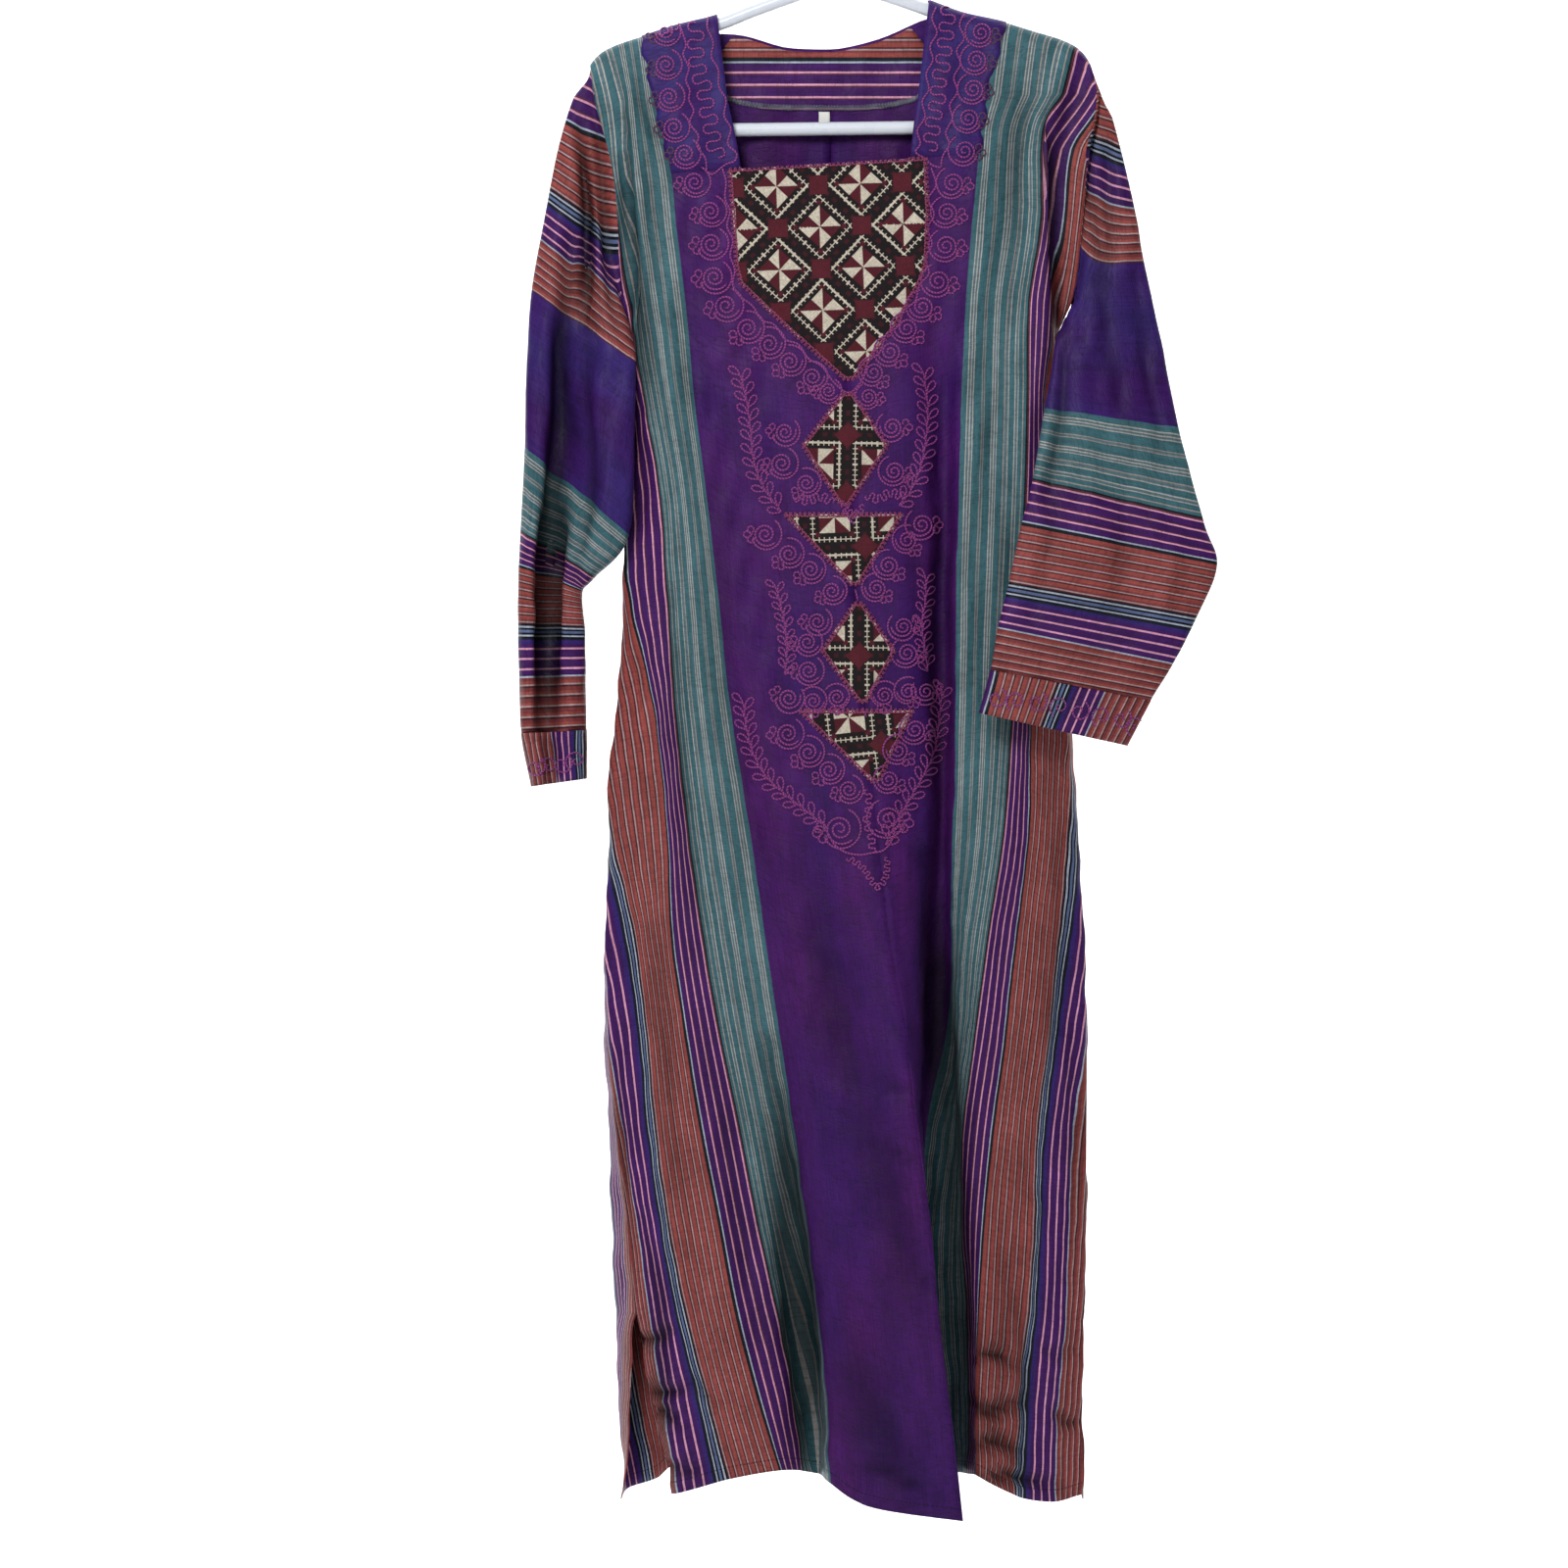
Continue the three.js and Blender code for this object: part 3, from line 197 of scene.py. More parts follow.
SEAM_ALLOWANCE = 8  # the loom width starts this far before the centre seam

# x of each line at the shoulder's crest
CREST_X = {
    "left": [-9, -108, -140, -171, -184, -194, -202, -211, -221],
    "right": [-9, 80, 108, 140, 165, 188, 200, 213, 225],
}
BACK_CREST_X = {
    "left": [CENTRE_BACK, -58, -108, -136, -160, -178, -190, -205, -221],
    "right": [CENTRE_BACK, 36, 79, 108, 140, 168, 190, 210, 225],
}
CREST_TURN = [(0, 0.3), (0.7, 3.1), (2.2, 5.9), (5, 8.2), (9.5, 9.5), (16, 10.2)]  # drop, out
TURN_ROOM = 24
CREST_LEVEL = -130
TURN_BLEND = 4  # rows between the turn and the first section

HEM_LEVEL = {
    "left": [-1455, -1447, -1440, -1424, -1417, -1413, -1413, -1421, -1424, -1434, -1434],
    "right": [-1455, -1444, -1432, -1422, -1416, -1416, -1417, -1435, -1438, -1441, -1435],
    "back": [-1412, -1410, -1406, -1402, -1400, -1400, -1402, -1412, -1422, -1432, -1440],
}

BACK_SHARE = [0, 0.18, 0.27, 0.36, 0.45, 0.55, 0.66, 0.79, 0.85, 1]
BACK_RIDGE = [1, -0.9, 0.1, 1, 0.1, -1, 0.7, -0.8, -0.2, 0.5]
BACK_LEVELS = {
    # level: left edge, right edge, base y, fold depth
    -196: [-217, 231, 12, 0],
    -254: [-200, 223, 14, 2],
    -309: [-196, 216, 15, 4],
    -370: [-192, 207, 15, 7],
    -409: [-184, 192, 16, 10],
    -544: [-184, 196, 22, 17],
    -631: [-186, 198, 25, 21],
    -848: [-202, 213, 31, 27],
    -1022: [-206, 217, 35, 31],
    -1109: [-204, 217, 36, 33],
    -1196: [-201, 216, 37, 34],
    -1273: [-197, 215, 38, 35],
    -1353: [-196, 214, 39, 36],
    -1431: [-188, 212, 40, 37],
}
BACK_FREE_EDGE = {"left": -194, "right": 217, "y": 12}
BACK_NECK = [(-108, -138), (-84, -140), (-49, -150), (-20, -152), (3, -151), (38, -142), (70, -128), (79, -124)]

# Sleeves: one row for each section, from the armhole to the cuff's lower edge. Weft is the length of cloth
# from the purple border at the outer and at the inner edge, and sets where the stripes fall.
# Columns: outX, outZ, inX, inZ, front, back, outY, inY, crease, outWeft, inWeft
LEFT_SLEEVE = [
    [-221, -170, -194, -370, 9, 9, 0, 0, 0, 205, 340],
    [-235, -194, -191, -387, 11, 11, 0, -1, 1, 228, 350],
    [-249, -239, -184.5, -403, 13, 14, 1, -8, 3, 268, 366],
    [-261, -300, -181, -418, 16, 18, 2, -14, 6, 325, 378],
    [-273, -367, -180, -432, 20, 24, 3, -18, 10, 390, 390],
    [-277, -431, -181, -492, 24, 28, 4, -19, 14, 453, 445],
    [-279, -505, -186, -584, 28, 32, 5, -18, 18, 527, 527],
    [-283, -582, -217, -622, 32, 36, 6, -4, 22, 600, 600],
    [-284, -612, -229, -634, 34, 38, 6, 4, 24, 640, 640],
    [-285, -663, -227, -666, 34, 38, 6, 4, 24, 693, 693],
    [-284, -711, -225, -709, 32, 36, 6, 4, 22, 736, 736],
    [-282, -760, -224, -757, 30, 34, 6, 4, 20, 775, 775],
    [-273, -807, -224, -800, 28, 32, 6, 4, 18, 820, 820],
]
RIGHT_SLEEVE = [
    [225, -172, 209, -370, 10, 9, 0, 0, 0, 255, 428],
    [242, -211, 208.7, -378, 11, 11, 0, -1, 0, 282, 430],
    [254, -257, 204, -388, 12, 12, -1, -9, 0, 315, 436],
    [263, -296, 198, -398, 13, 12, -3, -17, 0, 347, 442],
    [271, -342, 192, -412, 14, 11, -6, -25, 0, 390, 450],
    [286, -413, 188, -440, 14, 10, -14, -32, 1, 455, 484],
    [301, -489, 182, -472, 14, 10, -24, -38, 1, 527, 527],
    [323, -572, 171, -537, 14, 9, -30, -46, 2, 600, 600],
    [335, -611, 161, -576, 14, 9, -32, -48, 2, 640, 640],
    [317, -657, 150, -627, 14, 9, -34, -50, 2, 693, 693],
    [295, -700, 140, -668, 13, 9, -36, -51, 1, 737, 737],
    [276, -731, 134, -704, 12, 9, -38, -52, 1, 775, 775],
    [255, -771, 124, -742, 12, 9, -40, -53, 1, 820, 820],
]
SLEEVE_AROUND = 72
CREASE_AT = 0.42
CREASE_WIDTH = 0.16
CUFF_ROWS = 2  # the last two rows bound the cuff

# Shoulder straps: level, outer x
STRAP_EDGE = {
    "left": [(-125, -176), (-152, -170), (-174, -168), (-196, -163), (-218, -159), (-240, -153), (-258, -149)],
    "right": [(-125, 146), (-152, 139), (-174, 135), (-196, 132), (-218, 129), (-240, 126), (-258, 124)],
}

# Cross-stitch patches: outlines as level, left x, right x; the cloth's own turn; and its pattern's middle
PATCHES = {
    "chest_panel": {
        "outline": [
            (-255, -97, 77), (-300, -94, 79), (-345, -91, 77), (-361, -87, 71), (-400, -46, 49), (-446, 5, 13),
        ],
        "turn": 47,
        "middle": (-17, -311),
    },
    "diamond_upper": {"outline": [(-459, 4, 12), (-505, -32, 43), (-558, 2, 8)], "turn": -1, "middle": (34.5, -470)},
    "triangle_upper": {"outline": [(-566, -48, 56), (-628, 11, 17)], "turn": 2, "middle": (-4, -569)},
    "diamond_lower": {"outline": [(-645, 14, 20), (-687, -15, 49), (-732, 18, 24)], "turn": 0, "middle": (44, -665)},
    "triangle_lower": {"outline": [(-740, -35, 65), (-802, 29, 35)], "turn": 6, "middle": (9, -746)},
}

HANGER_TILT = 0.012
HANGER_ARM = [
    (0, -92), (35, -103), (78, -118), (107, -129), (143, -137.5), (170, -146), (195, -154), (208, -161), (216, -172),
    (218, -187), (212, -204), (198, -218), (178, -223),
]
TUBE_RADIUS = 6
HOOK_RADIUS = 4.5
HOOK_BEND = 18
HOOK_STEM = 30
HANG_GAP = 0.6
CLOTH_WALL = 1.4

# Sizes of the visible model
TUBE_SIDES = 28
BAR_STEPS = 10
LAID_LIFT = 0.9  # a laid piece's outer side above the cloth under it
STRAP_COLUMNS = 16
SCALLOPS = 5
SCALLOP_DEPTH = 5
PATCH_STEP = 5
PATCH_COLUMNS = 32
PATCH_RAGGED = 1.6
SLEEVE_RINGS = 84
CUFF_RINGS = 10
CUFF_LENGTH = 46
CUFF_PROUD = 0.5
CUFF_WEFT = {"left": (385, 300), "right": (387, 242)}  # at the outer and at the inner edge
HEM_STITCH = 10.4
FACING_TOP, FACING_FOOT = (-95, 64), (-112, 82)
FACING_MIDDLE, FACING_ENDS = -206, -190
FACING_BELOW = 2.5
FACING_WEFT = (239.7, -171.4, 0.85)  # weft at a level, and weft for each mm of height
FACING_ROWS, FACING_COLUMNS = 12, 48
OVERLOCK_PITCH, OVERLOCK_HEIGHT, OVERLOCK_RADIUS = 1.3, 4.2, 0.65
LABEL_LEFT, LABEL_RIGHT, LABEL_TOP, LABEL_FOOT = -18, -8, -207.5, -221
LABEL_STEPS, LABEL_WALL = 6, 0.4

# Stage, in metres
FLOOR_LEVEL = -1.62
STAGE_WIDE, STAGE_DEEP, STAGE_HIGH, STAGE_BEND = 9, 5, 5, 1.2
CAMERA_X, CAMERA_Z, CAMERA_AWAY = -0.0487, -0.8048, 14.0
VIEW_WIDE = 1.392  # width of the view at the hanger's plane
SENSOR = 36
WORLD_LIGHT = 0.2
LIGHTS = [
    # name, place, aim, size, watts
    ("key light", (-0.75, -2.0, 0.65), (0, 0, -0.5), 0.8, 47),
    ("fill light", (1.5, -3.2, -0.4), (0, 0, -0.8), 1.6, 7),
    ("top light", (0.0, -0.5, 2.0), (0, 0, -0.6), 1.4, 8),
    ("backdrop light left", (-1.3, 1.0, 1.3), (-0.7, 2.4, -0.8), 2.0, 70),
    ("backdrop light right", (1.3, 1.0, 1.3), (0.7, 2.4, -0.8), 2.0, 70),
]

# Soft creases pressed or hung into the cloth: points as x and level, reach to either side, and depth (- inwards)
CREASE_SHARE = 1.35  # of the depths below
FOLD_AT = 0.36  # the left sleeve's deep fold, as a share of its width
PAINTED_SHADE_DEPTH = 9  # a trough this deep gets the deepest painted shade: the colour is darkened in creases
CREASES = {
    "front_left": [
        ([(24, -1110), (50, -1190), (60, -1290)], 16, -3.4),
        ([(6, -1300), (36, -1380), (66, -1440)], 22, -4.2),
        ([(-30, -900), (-10, -1000), (10, -1100)], 14, -2.2),
        ([(-205, -1310), (-196, -1370), (-190, -1425)], 8, -7.0),
        ([(-176, -1420), (-150, -1412), (-120, -1416)], 6, -6.0),
        ([(-190, -1290), (-170, -1300), (-150, -1288)], 5, -7.0),
        ([(-186, -1330), (-160, -1345), (-132, -1338)], 5, -7.5),
        ([(-184, -1372), (-160, -1362), (-140, -1376)], 5, -7.0),
        ([(-130, -1330), (-112, -1352), (-96, -1350)], 4, -3.4),
        ([(-8, -1332), (40, -1342), (94, -1359)], 4, 2.2),
        ([(30, -1060), (56, -1076), (76, -1070)], 5, -3.0),
        ([(24, -1120), (50, -1128), (78, -1148)], 5, -2.6),
        ([(60, -1230), (80, -1250), (90, -1262)], 5, -3.0),
        ([(-193, -252), (-186, -310), (-180, -370), (-172, -470)], 7, -6.5),
        ([(-180, -260), (-174, -320), (-168, -400)], 4, 2.6),
        ([(-62, -1040), (-46, -1180), (-34, -1310), (-28, -1430)], 14, -8.5),
        ([(-176, -1190), (-160, -1260), (-156, -1400)], 7, -4.4),
        ([(-196, -1040), (-190, -1180), (-182, -1290)], 5, -3.6),
        ([(43, -896), (64, -979), (73, -1066), (78, -1153), (90, -1257), (98, -1370)], 5, 3.0),
        ([(-190, -176), (-165, -222), (-143, -280)], 9, -2.6),
        ([(-206, -196), (-176, -250), (-160, -330)], 7, -2.2),
        ([(-166, -300), (-168, -396), (-163, -500)], 6, -3.2),
        ([(-152, -318), (-152, -400), (-149, -470)], 6, 2.4),
        ([(-137, -360), (-136, -440), (-128, -540)], 7, -2.4),
        ([(-118, -520), (-104, -700), (-72, -905)], 13, -2.2),
        ([(-78, -700), (-42, -950), (-6, -1200)], 16, 2.6),
        ([(-150, -640), (-141, -790), (-125, -960)], 9, -3.4),
        ([(-180, -460), (-176, -520), (-182, -610)], 7, -2.6),
        ([(-120, -1010), (-96, -1130), (-76, -1290)], 9, -3.0),
        ([(-160, -900), (-157, -1010), (-140, -1170)], 8, -2.8),
        ([(-30, -860), (6, -1020), (34, -1190)], 12, -1.8),
        ([(-60, -1180), (-36, -1300), (-22, -1400)], 7, -2.4),
        ([(-6, -1395), (35, -1404), (90, -1425)], 7, 2.4),
        ([(0, -1408), (40, -1413), (88, -1434)], 5, -3.2),
        ([(-100, -1210), (-84, -1330), (-70, -1425)], 7, 2.2),
    ],
    "front_right": [
        ([(92, -520), (90, -680), (88, -860)], 8, -4.0),
        ([(120, -1424), (150, -1418), (190, -1428)], 6, -6.5),
        ([(190, -1360), (204, -1372), (214, -1366)], 5, -5.0),
        ([(118, -1316), (136, -1308), (156, -1320)], 5, -7.0),
        ([(116, -1352), (134, -1360), (164, -1352)], 7, -8.0),
        ([(120, -1392), (140, -1386), (160, -1398)], 7, -8.0),
        ([(176, -1300), (190, -1312), (206, -1306)], 5, -3.4),
        ([(184, -200), (190, -300), (192, -400), (186, -470)], 7, -5.5),
        ([(80, -870), (88, -1010), (96, -1130), (105, -1290), (112, -1428)], 13, -8.5),
        ([(150, -1230), (166, -1320), (158, -1420)], 6, -3.6),
        ([(134, -1190), (126, -1290), (132, -1420)], 5, 2.6),
        ([(176, -480), (176, -620), (170, -780)], 6, -3.4),
        ([(176, -170), (160, -230), (152, -300)], 9, -2.4),
        ([(208, -186), (196, -240), (190, -310)], 7, -2.4),
        ([(154, -190), (153, -290), (152, -400)], 10, -2.6),
        ([(126, -330), (124, -450), (122, -600)], 8, 2.0),
        ([(60, -480), (70, -600), (72, -740)], 8, -2.0),
        ([(150, -540), (150, -680), (142, -820)], 9, -2.8),
        ([(184, -430), (190, -540), (190, -660)], 6, -2.2),
        ([(160, -800), (158, -960), (146, -1100)], 9, 2.4),
        ([(190, -780), (196, -920), (186, -1080)], 8, -2.6),
        ([(120, -960), (112, -1120), (112, -1290)], 8, -2.6),
        ([(202, -960), (208, -1120), (204, -1290)], 6, -2.2),
        ([(140, -1160), (146, -1290), (142, -1420)], 7, -2.6),
        ([(90, -880), (92, -1040), (94, -1180)], 6, -1.8),
        ([(180, -1180), (186, -1300), (184, -1420)], 7, 2.2),
    ],
    "back_left": [
        ([(-186, -190), (-150, -260), (-120, -350)], 10, -2.8),
        ([(-60, -170), (-66, -300), (-60, -420)], 14, -2.4),
        ([(-150, -340), (-146, -480), (-150, -640)], 9, 2.8),
        ([(-100, -420), (-96, -640), (-106, -860)], 12, -3.0),
        ([(-178, -440), (-174, -560), (-182, -700)], 7, -2.4),
        ([(-40, -520), (-36, -760), (-42, -980)], 12, 2.4),
        ([(-150, -760), (-158, -930), (-152, -1100)], 9, -3.2),
        ([(-80, -980), (-84, -1180), (-78, -1380)], 11, -2.8),
        ([(-120, -1100), (-118, -1260), (-114, -1420)], 8, 2.6),
        ([(-176, -1050), (-174, -1200), (-168, -1330)], 7, -2.6),
        ([(-30, -1150), (-28, -1290), (-34, -1425)], 9, -2.4),
    ],
    "back_right": [
        ([(190, -184), (150, -262), (126, -340)], 10, -2.8),
        ([(56, -180), (48, -320), (54, -460)], 14, -2.4),
        ([(160, -330), (156, -470), (162, -620)], 9, -2.8),
        ([(110, -430), (100, -620), (112, -840)], 12, 2.6),
        ([(188, -430), (184, -560), (190, -690)], 7, -2.2),
        ([(40, -560), (34, -760), (38, -960)], 12, -2.8),
        ([(170, -740), (176, -900), (172, -1080)], 9, -3.0),
        ([(84, -900), (88, -1120), (82, -1330)], 11, -2.8),
        ([(132, -1040), (136, -1230), (130, -1410)], 9, 2.6),
        ([(196, -1010), (200, -1170), (198, -1320)], 7, -2.6),
        ([(30, -1140), (26, -1280), (30, -1425)], 9, 2.2),
    ],
    "sleeve_left": [
        ([(-232, -225), (-222, -293), (-228, -398)], 5, -7.5),
        ([(-214, -195), (-210, -275), (-198, -400)], 6, -5.4),
        ([(-238, -320), (-247, -440), (-250, -560), (-258, -660), (-262, -790)], 8, -9.0),
        ([(-262, -470), (-254, -560), (-264, -680)], 5, -4.4),
        ([(-226, -440), (-220, -520), (-232, -620)], 5, -4.4),
        ([(-228, -215), (-224, -300), (-228, -400)], 7, -3.4),
        ([(-206, -330), (-222, -420), (-232, -500)], 7, -2.6),
        ([(-254, -390), (-246, -440), (-236, -520)], 6, -3.2),
        ([(-266, -520), (-258, -620), (-256, -740)], 7, -3.4),
        ([(-214, -560), (-228, -640), (-236, -740)], 7, 2.4),
        ([(-276, -430), (-272, -560), (-274, -700)], 5, 1.8),
        ([(-206, -470), (-214, -540), (-226, -600)], 5, -2.2),
    ],
    "sleeve_right": [
        ([(206, -210), (212, -290), (204, -370)], 6, -5.0),
        ([(226, -200), (222, -280), (232, -350)], 5, -3.6),
        ([(200, -400), (196, -480), (180, -560)], 6, -4.4),
        ([(236, -220), (240, -300), (236, -380)], 7, -3.0),
        ([(222, -320), (240, -420), (262, -520)], 8, -2.6),
        ([(262, -330), (272, -430), (288, -520)], 7, -2.6),
        ([(214, -430), (222, -520), (226, -600)], 7, 2.2),
        ([(250, -540), (248, -620), (232, -690)], 7, -2.4),
        ([(196, -500), (186, -590), (172, -670)], 7, -2.2),
        ([(300, -560), (290, -630), (268, -700)], 7, 2.0),
    ],
    "cuff_left": [([(-258, -755), (-254, -805)], 6, -2.0)],
    "cuff_right": [([(214, -706), (202, -760)], 7, -1.8)],
}
RIPPLE = 0.9  # height of the low, uneven ripple over all cloth
RIPPLE_WAVES = [
    # across, down, turn, share
    (0.021, 0.0045, 0.4, 1.0),
    (0.047, -0.0082, 2.1, 0.55),
    (-0.031, 0.0134, 4.4, 0.6),
    (0.083, 0.0207, 1.3, 0.28),
    (0.012, 0.0311, 5.2, 0.45),
]
EDGE_CALM = 10  # near a seam the creases and the ripple fade over this width


def along(keys, values, at):
    """A table's row at any key, on a smooth curve through its rows."""
    values = np.asarray(values, float)
    if keys[0] < keys[-1]:
        keys, values = keys[::-1], values[::-1]
    last = len(keys) - 1
    if at >= keys[0]:
        return values[0]
    if at <= keys[last]:
        return values[last]
    k = next(k for k in range(last) if at > keys[k + 1])

    def slope(i):
        a, b = max(i - 1, 0), min(i + 1, last)
        return (values[b] - values[a]) / (keys[b] - keys[a])

    span = keys[k + 1] - keys[k]
    t = (at - keys[k]) / span
    rise = t * t * (3 - 2 * t)
    start = slope(k) * span * (t**3 - 2 * t * t + t)
    end = slope(k + 1) * span * (t**3 - t * t)
    return values[k] * (1 - rise) + values[k + 1] * rise + start + end


def smoothstep(value, low, high):
    t = min(1, max(0, (value - low) / (high - low)))
    return t * t * (3 - 2 * t)


def lerp(a, b, share):
    return a + (b - a) * share


def rounded_path(points, steps):
    """Points on a smooth curve through a polyline, with that many steps from each point to the next."""
    points = np.asarray(points, float)
    padded = np.vstack([2 * points[0] - points[1], points, 2 * points[-1] - points[-2]])
    found = []
    for k in range(len(points) - 1):
        a, b, c, d = padded[k : k + 4]
        before, here, after = (max(1e-2, math.sqrt(np.linalg.norm(q - p))) for p, q in ((a, b), (b, c), (c, d)))
        leave = ((b - a) / before - (c - a) / (before + here) + (c - b) / here) * here
        arrive = ((c - b) / here - (d - b) / (here + after) + (d - c) / after) * here
        for t in np.arange(steps) / steps:
            cubic = 2 * b - 2 * c + leave + arrive
            square = -3 * b + 3 * c - 2 * leave - arrive
            found.append(b + leave * t + square * t * t + cubic * t**3)
    found.append(points[-1])
    return np.array(found)


def hanger_points(side):
    return [np.array([side * across, 0.0, level + HANGER_TILT * side * across]) for across, level in HANGER_ARM]


def crest_line():
    """x and level of the line in which the cloth's outer side passes over the hanger."""
    reach = TUBE_RADIUS + HANG_GAP + CLOTH_WALL
    halves = []
    for side in (-1, 1):
        path = rounded_path(hanger_points(side), 8)
        tangent = np.gradient(path, axis=0)
        tangent /= np.linalg.norm(tangent, axis=1)[:, None]
        found = []
        for point, (run, _, fall) in zip(path, tangent):
            x = point[0] - side * fall * reach
            if found and side * x <= side * found[-1][0]:
                break
            found.append((x, point[2] + side * run * reach))
        halves.append(found)
    return np.array(halves[0][::-1] + halves[1][1:])


CREST = crest_line()


def crest(x):
    return np.interp(x, CREST[:, 0], CREST[:, 1])


def line_at(table, line, level):
    keys = [key for key in table if len(table[key]) > line]
    return along(keys, [table[key][line] for key in keys], level)


WIDTHS = {"left": (LEFT_ACROSS, LEFT_FORWARD), "right": (RIGHT_ACROSS, RIGHT_FORWARD)}
WEFTS = {"left": LEFT_WEFT, "right": RIGHT_WEFT}
LEVELS = sorted(LEFT_FORWARD, reverse=True)


def tilted(x, level):
    """The neck's tilt, added to a level that is near the neckline."""
    fade = max(0, 1 - abs(level - NECKLINE) / TILT_REACH)
    return level + NECK_TILT * fade * (x - LEFT_ACROSS[NECKLINE][SEAM])


def dipped(levels, line, level):
    share = max(0, (level - DIP_STARTS) / (HEM - DIP_STARTS))
    return level + share * share * (levels[line] - HEM)


def front_section(side, level):
    across, forward = WIDTHS[side]
    points = []
    for line in range(len(LINES)):
        x = line_at(across, line, level)
        points.append((x, -line_at(forward, line, level), dipped(HEM_LEVEL[side], line, tilted(x, level))))
    return np.array(points)


def back_section(side, level):
    keys = list(BACK_LEVELS)
    left, right, base, fold = along(keys, [BACK_LEVELS[key] for key in keys], level)
    edge = left if side == "left" else right
    flat = smoothstep(level, UNDERARM, LEVELS[0])
    points = np.zeros((len(LINES), 3))
    for line, share in enumerate(BACK_SHARE):
        hung = CENTRE_BACK + (edge - CENTRE_BACK) * share
        points[line, 0] = lerp(hung, BACK_CREST_X[side][min(line, ARM)], flat)
        points[line, 1] = base + fold / 2 * BACK_RIDGE[line]
    front = front_section(side, level)
    at_arm = smoothstep(level, UNDERARM - UNDERARM_FADE, UNDERARM)
    points[ARM, 0] = lerp(points[ARM, 0], front[ARM, 0], at_arm)
    points[ARM, 1] = lerp(points[ARM, 1], ARM_EDGE_OUT, at_arm)
    opening = min(1, max(0, (level - SLIT_TOP) / (HEM - SLIT_TOP)))
    points[SIDE, 0] = lerp(front[SIDE, 0], BACK_FREE_EDGE[side], math.sqrt(opening))
    points[SIDE, 1] = lerp(front[SIDE, 1], BACK_FREE_EDGE["y"], math.sqrt(opening))
    for line, point in enumerate(points):
        own = level if line == SIDE and opening == 0 else tilted(point[0], level)
        point[2] = dipped(HEM_LEVEL["back"], line, own)
    return points


def scoop(x):
    return along([p[0] for p in BACK_NECK], [p[1] for p in BACK_NECK], x)


def turned_rows(first, top_x, is_back):
    """The rows in which a panel turns over the hanger at the shoulder."""
    top = rounded_path([(x, 0, 0) for x in top_x], STATIONS)
    corner = TUCK * STATIONS
    rows = []
    for drop, out in CREST_TURN:
        row = []
        for j, start in enumerate(top[:, 0]):
            is_neck = is_back and j < corner and drop == CREST_TURN[-1][0]
            room = crest(start) - first[j, 2]
            fall = drop * min(1, room / TURN_ROOM)
            x = start if is_neck else lerp(start, first[j, 0], fall / room)
            z = scoop(x) if is_neck else crest(start) - fall
            row.append((x, out if is_back else -out, z))
        rows.append(row)
    return np.array(rows)


def whole_row(points):
    """Repeats a short row's last point, so that all rows are as long as a whole one."""
    missing = (len(LINES) - 1) * STATIONS + 1 - len(points)
    return np.vstack([points, np.repeat(points[-1:], missing, axis=0)])


def lengths_along(points):
    steps = np.linalg.norm(np.diff(points, axis=0), axis=1)
    return np.concatenate([[0], np.cumsum(steps)])


def weft_of(row, side, level, is_back):
    """How far along the weft each point of a row lies from the centre seam."""
    table = WEFTS[side]
    keys = [key for key in table if len(table[key]) > 5 or level > UNDERARM]
    known = along(keys, [table[key][:5] if level > UNDERARM else table[key] for key in keys], level)
    anchors = {0: 0.0}
    run = lengths_along(row)
    if is_back:
        at_arm = along(list(table), [table[key][4] for key in table], max(level, UNDERARM)) / run[ARM * STATIONS]
        at_side = known[-1] / run[-1]
        return run * lerp(at_side, at_arm, smoothstep(level, UNDERARM - UNDERARM_FADE, UNDERARM))
    anchors.update({line * STATIONS: value for line, value in zip(WEFT_LINES, known)})
    columns = sorted(anchors)
    return np.interp(run, run[columns], [anchors[j] for j in columns])


def normals_of(rows, hint):
    """Outward normals of a grid, on the side of the hint."""
    down = np.gradient(rows, axis=0)
    across = np.gradient(rows, axis=1)
    normals = np.cross(across, down)
    lengths = np.linalg.norm(normals, axis=2, keepdims=True)
    normals = normals / np.maximum(lengths, 1e-6)
    flip = np.sign(np.sum(normals * hint, axis=2, keepdims=True))
    main = 1 if flip.sum() >= 0 else -1
    return normals * main


CREASE_ENDS = (0.06, 0.94)  # a crease keeps a little depth at both its ends
CREASE_TAPER = 0.6


def creased(rows, normals, name, calm):
    """Moves a grid in and out along its creases, with a low ripple, but not where calm is 0. Also gives each point a
    share of painted shade, from 0 to 1, that grows with the depth of the troughs.
    """
    x, z = rows[..., 0], rows[..., 2]
    lift, fold = np.zeros(x.shape), np.zeros(x.shape)
    for points, reach, depth in CREASES[name]:
        path = rounded_path(points, 4)
        best = np.full(x.shape, 1e9)
        place = np.zeros(x.shape)
        run = lengths_along(path) / lengths_along(path)[-1]
        for k in range(len(path) - 1):
            a, step = path[k], path[k + 1] - path[k]
            t = np.clip(((x - a[0]) * step[0] + (z - a[1]) * step[1]) / (step @ step), 0, 1)
            away = np.hypot(x - a[0] - t * step[0], z - a[1] - t * step[1])
            nearer = away < best
            best = np.where(nearer, away, best)
            place = np.where(nearer, lerp(run[k], run[k + 1], t), place)
        taper = np.sin(np.pi * np.clip(place, *CREASE_ENDS)) ** CREASE_TAPER
        step = CREASE_SHARE * depth * np.exp(-((best / reach) ** 2)) * taper
        lift += step
        # painted shade: the deeper a crease's trough, the darker the colour there
        fold += np.maximum(0, -step) / PAINTED_SHADE_DEPTH
    for across, down, turn, share in RIPPLE_WAVES:
        lift += RIPPLE * share * np.sin(across * x * 2 * np.pi + down * z * 2 * np.pi + turn)
    return rows + normals * (lift * calm)[..., None], np.minimum(fold, 1)


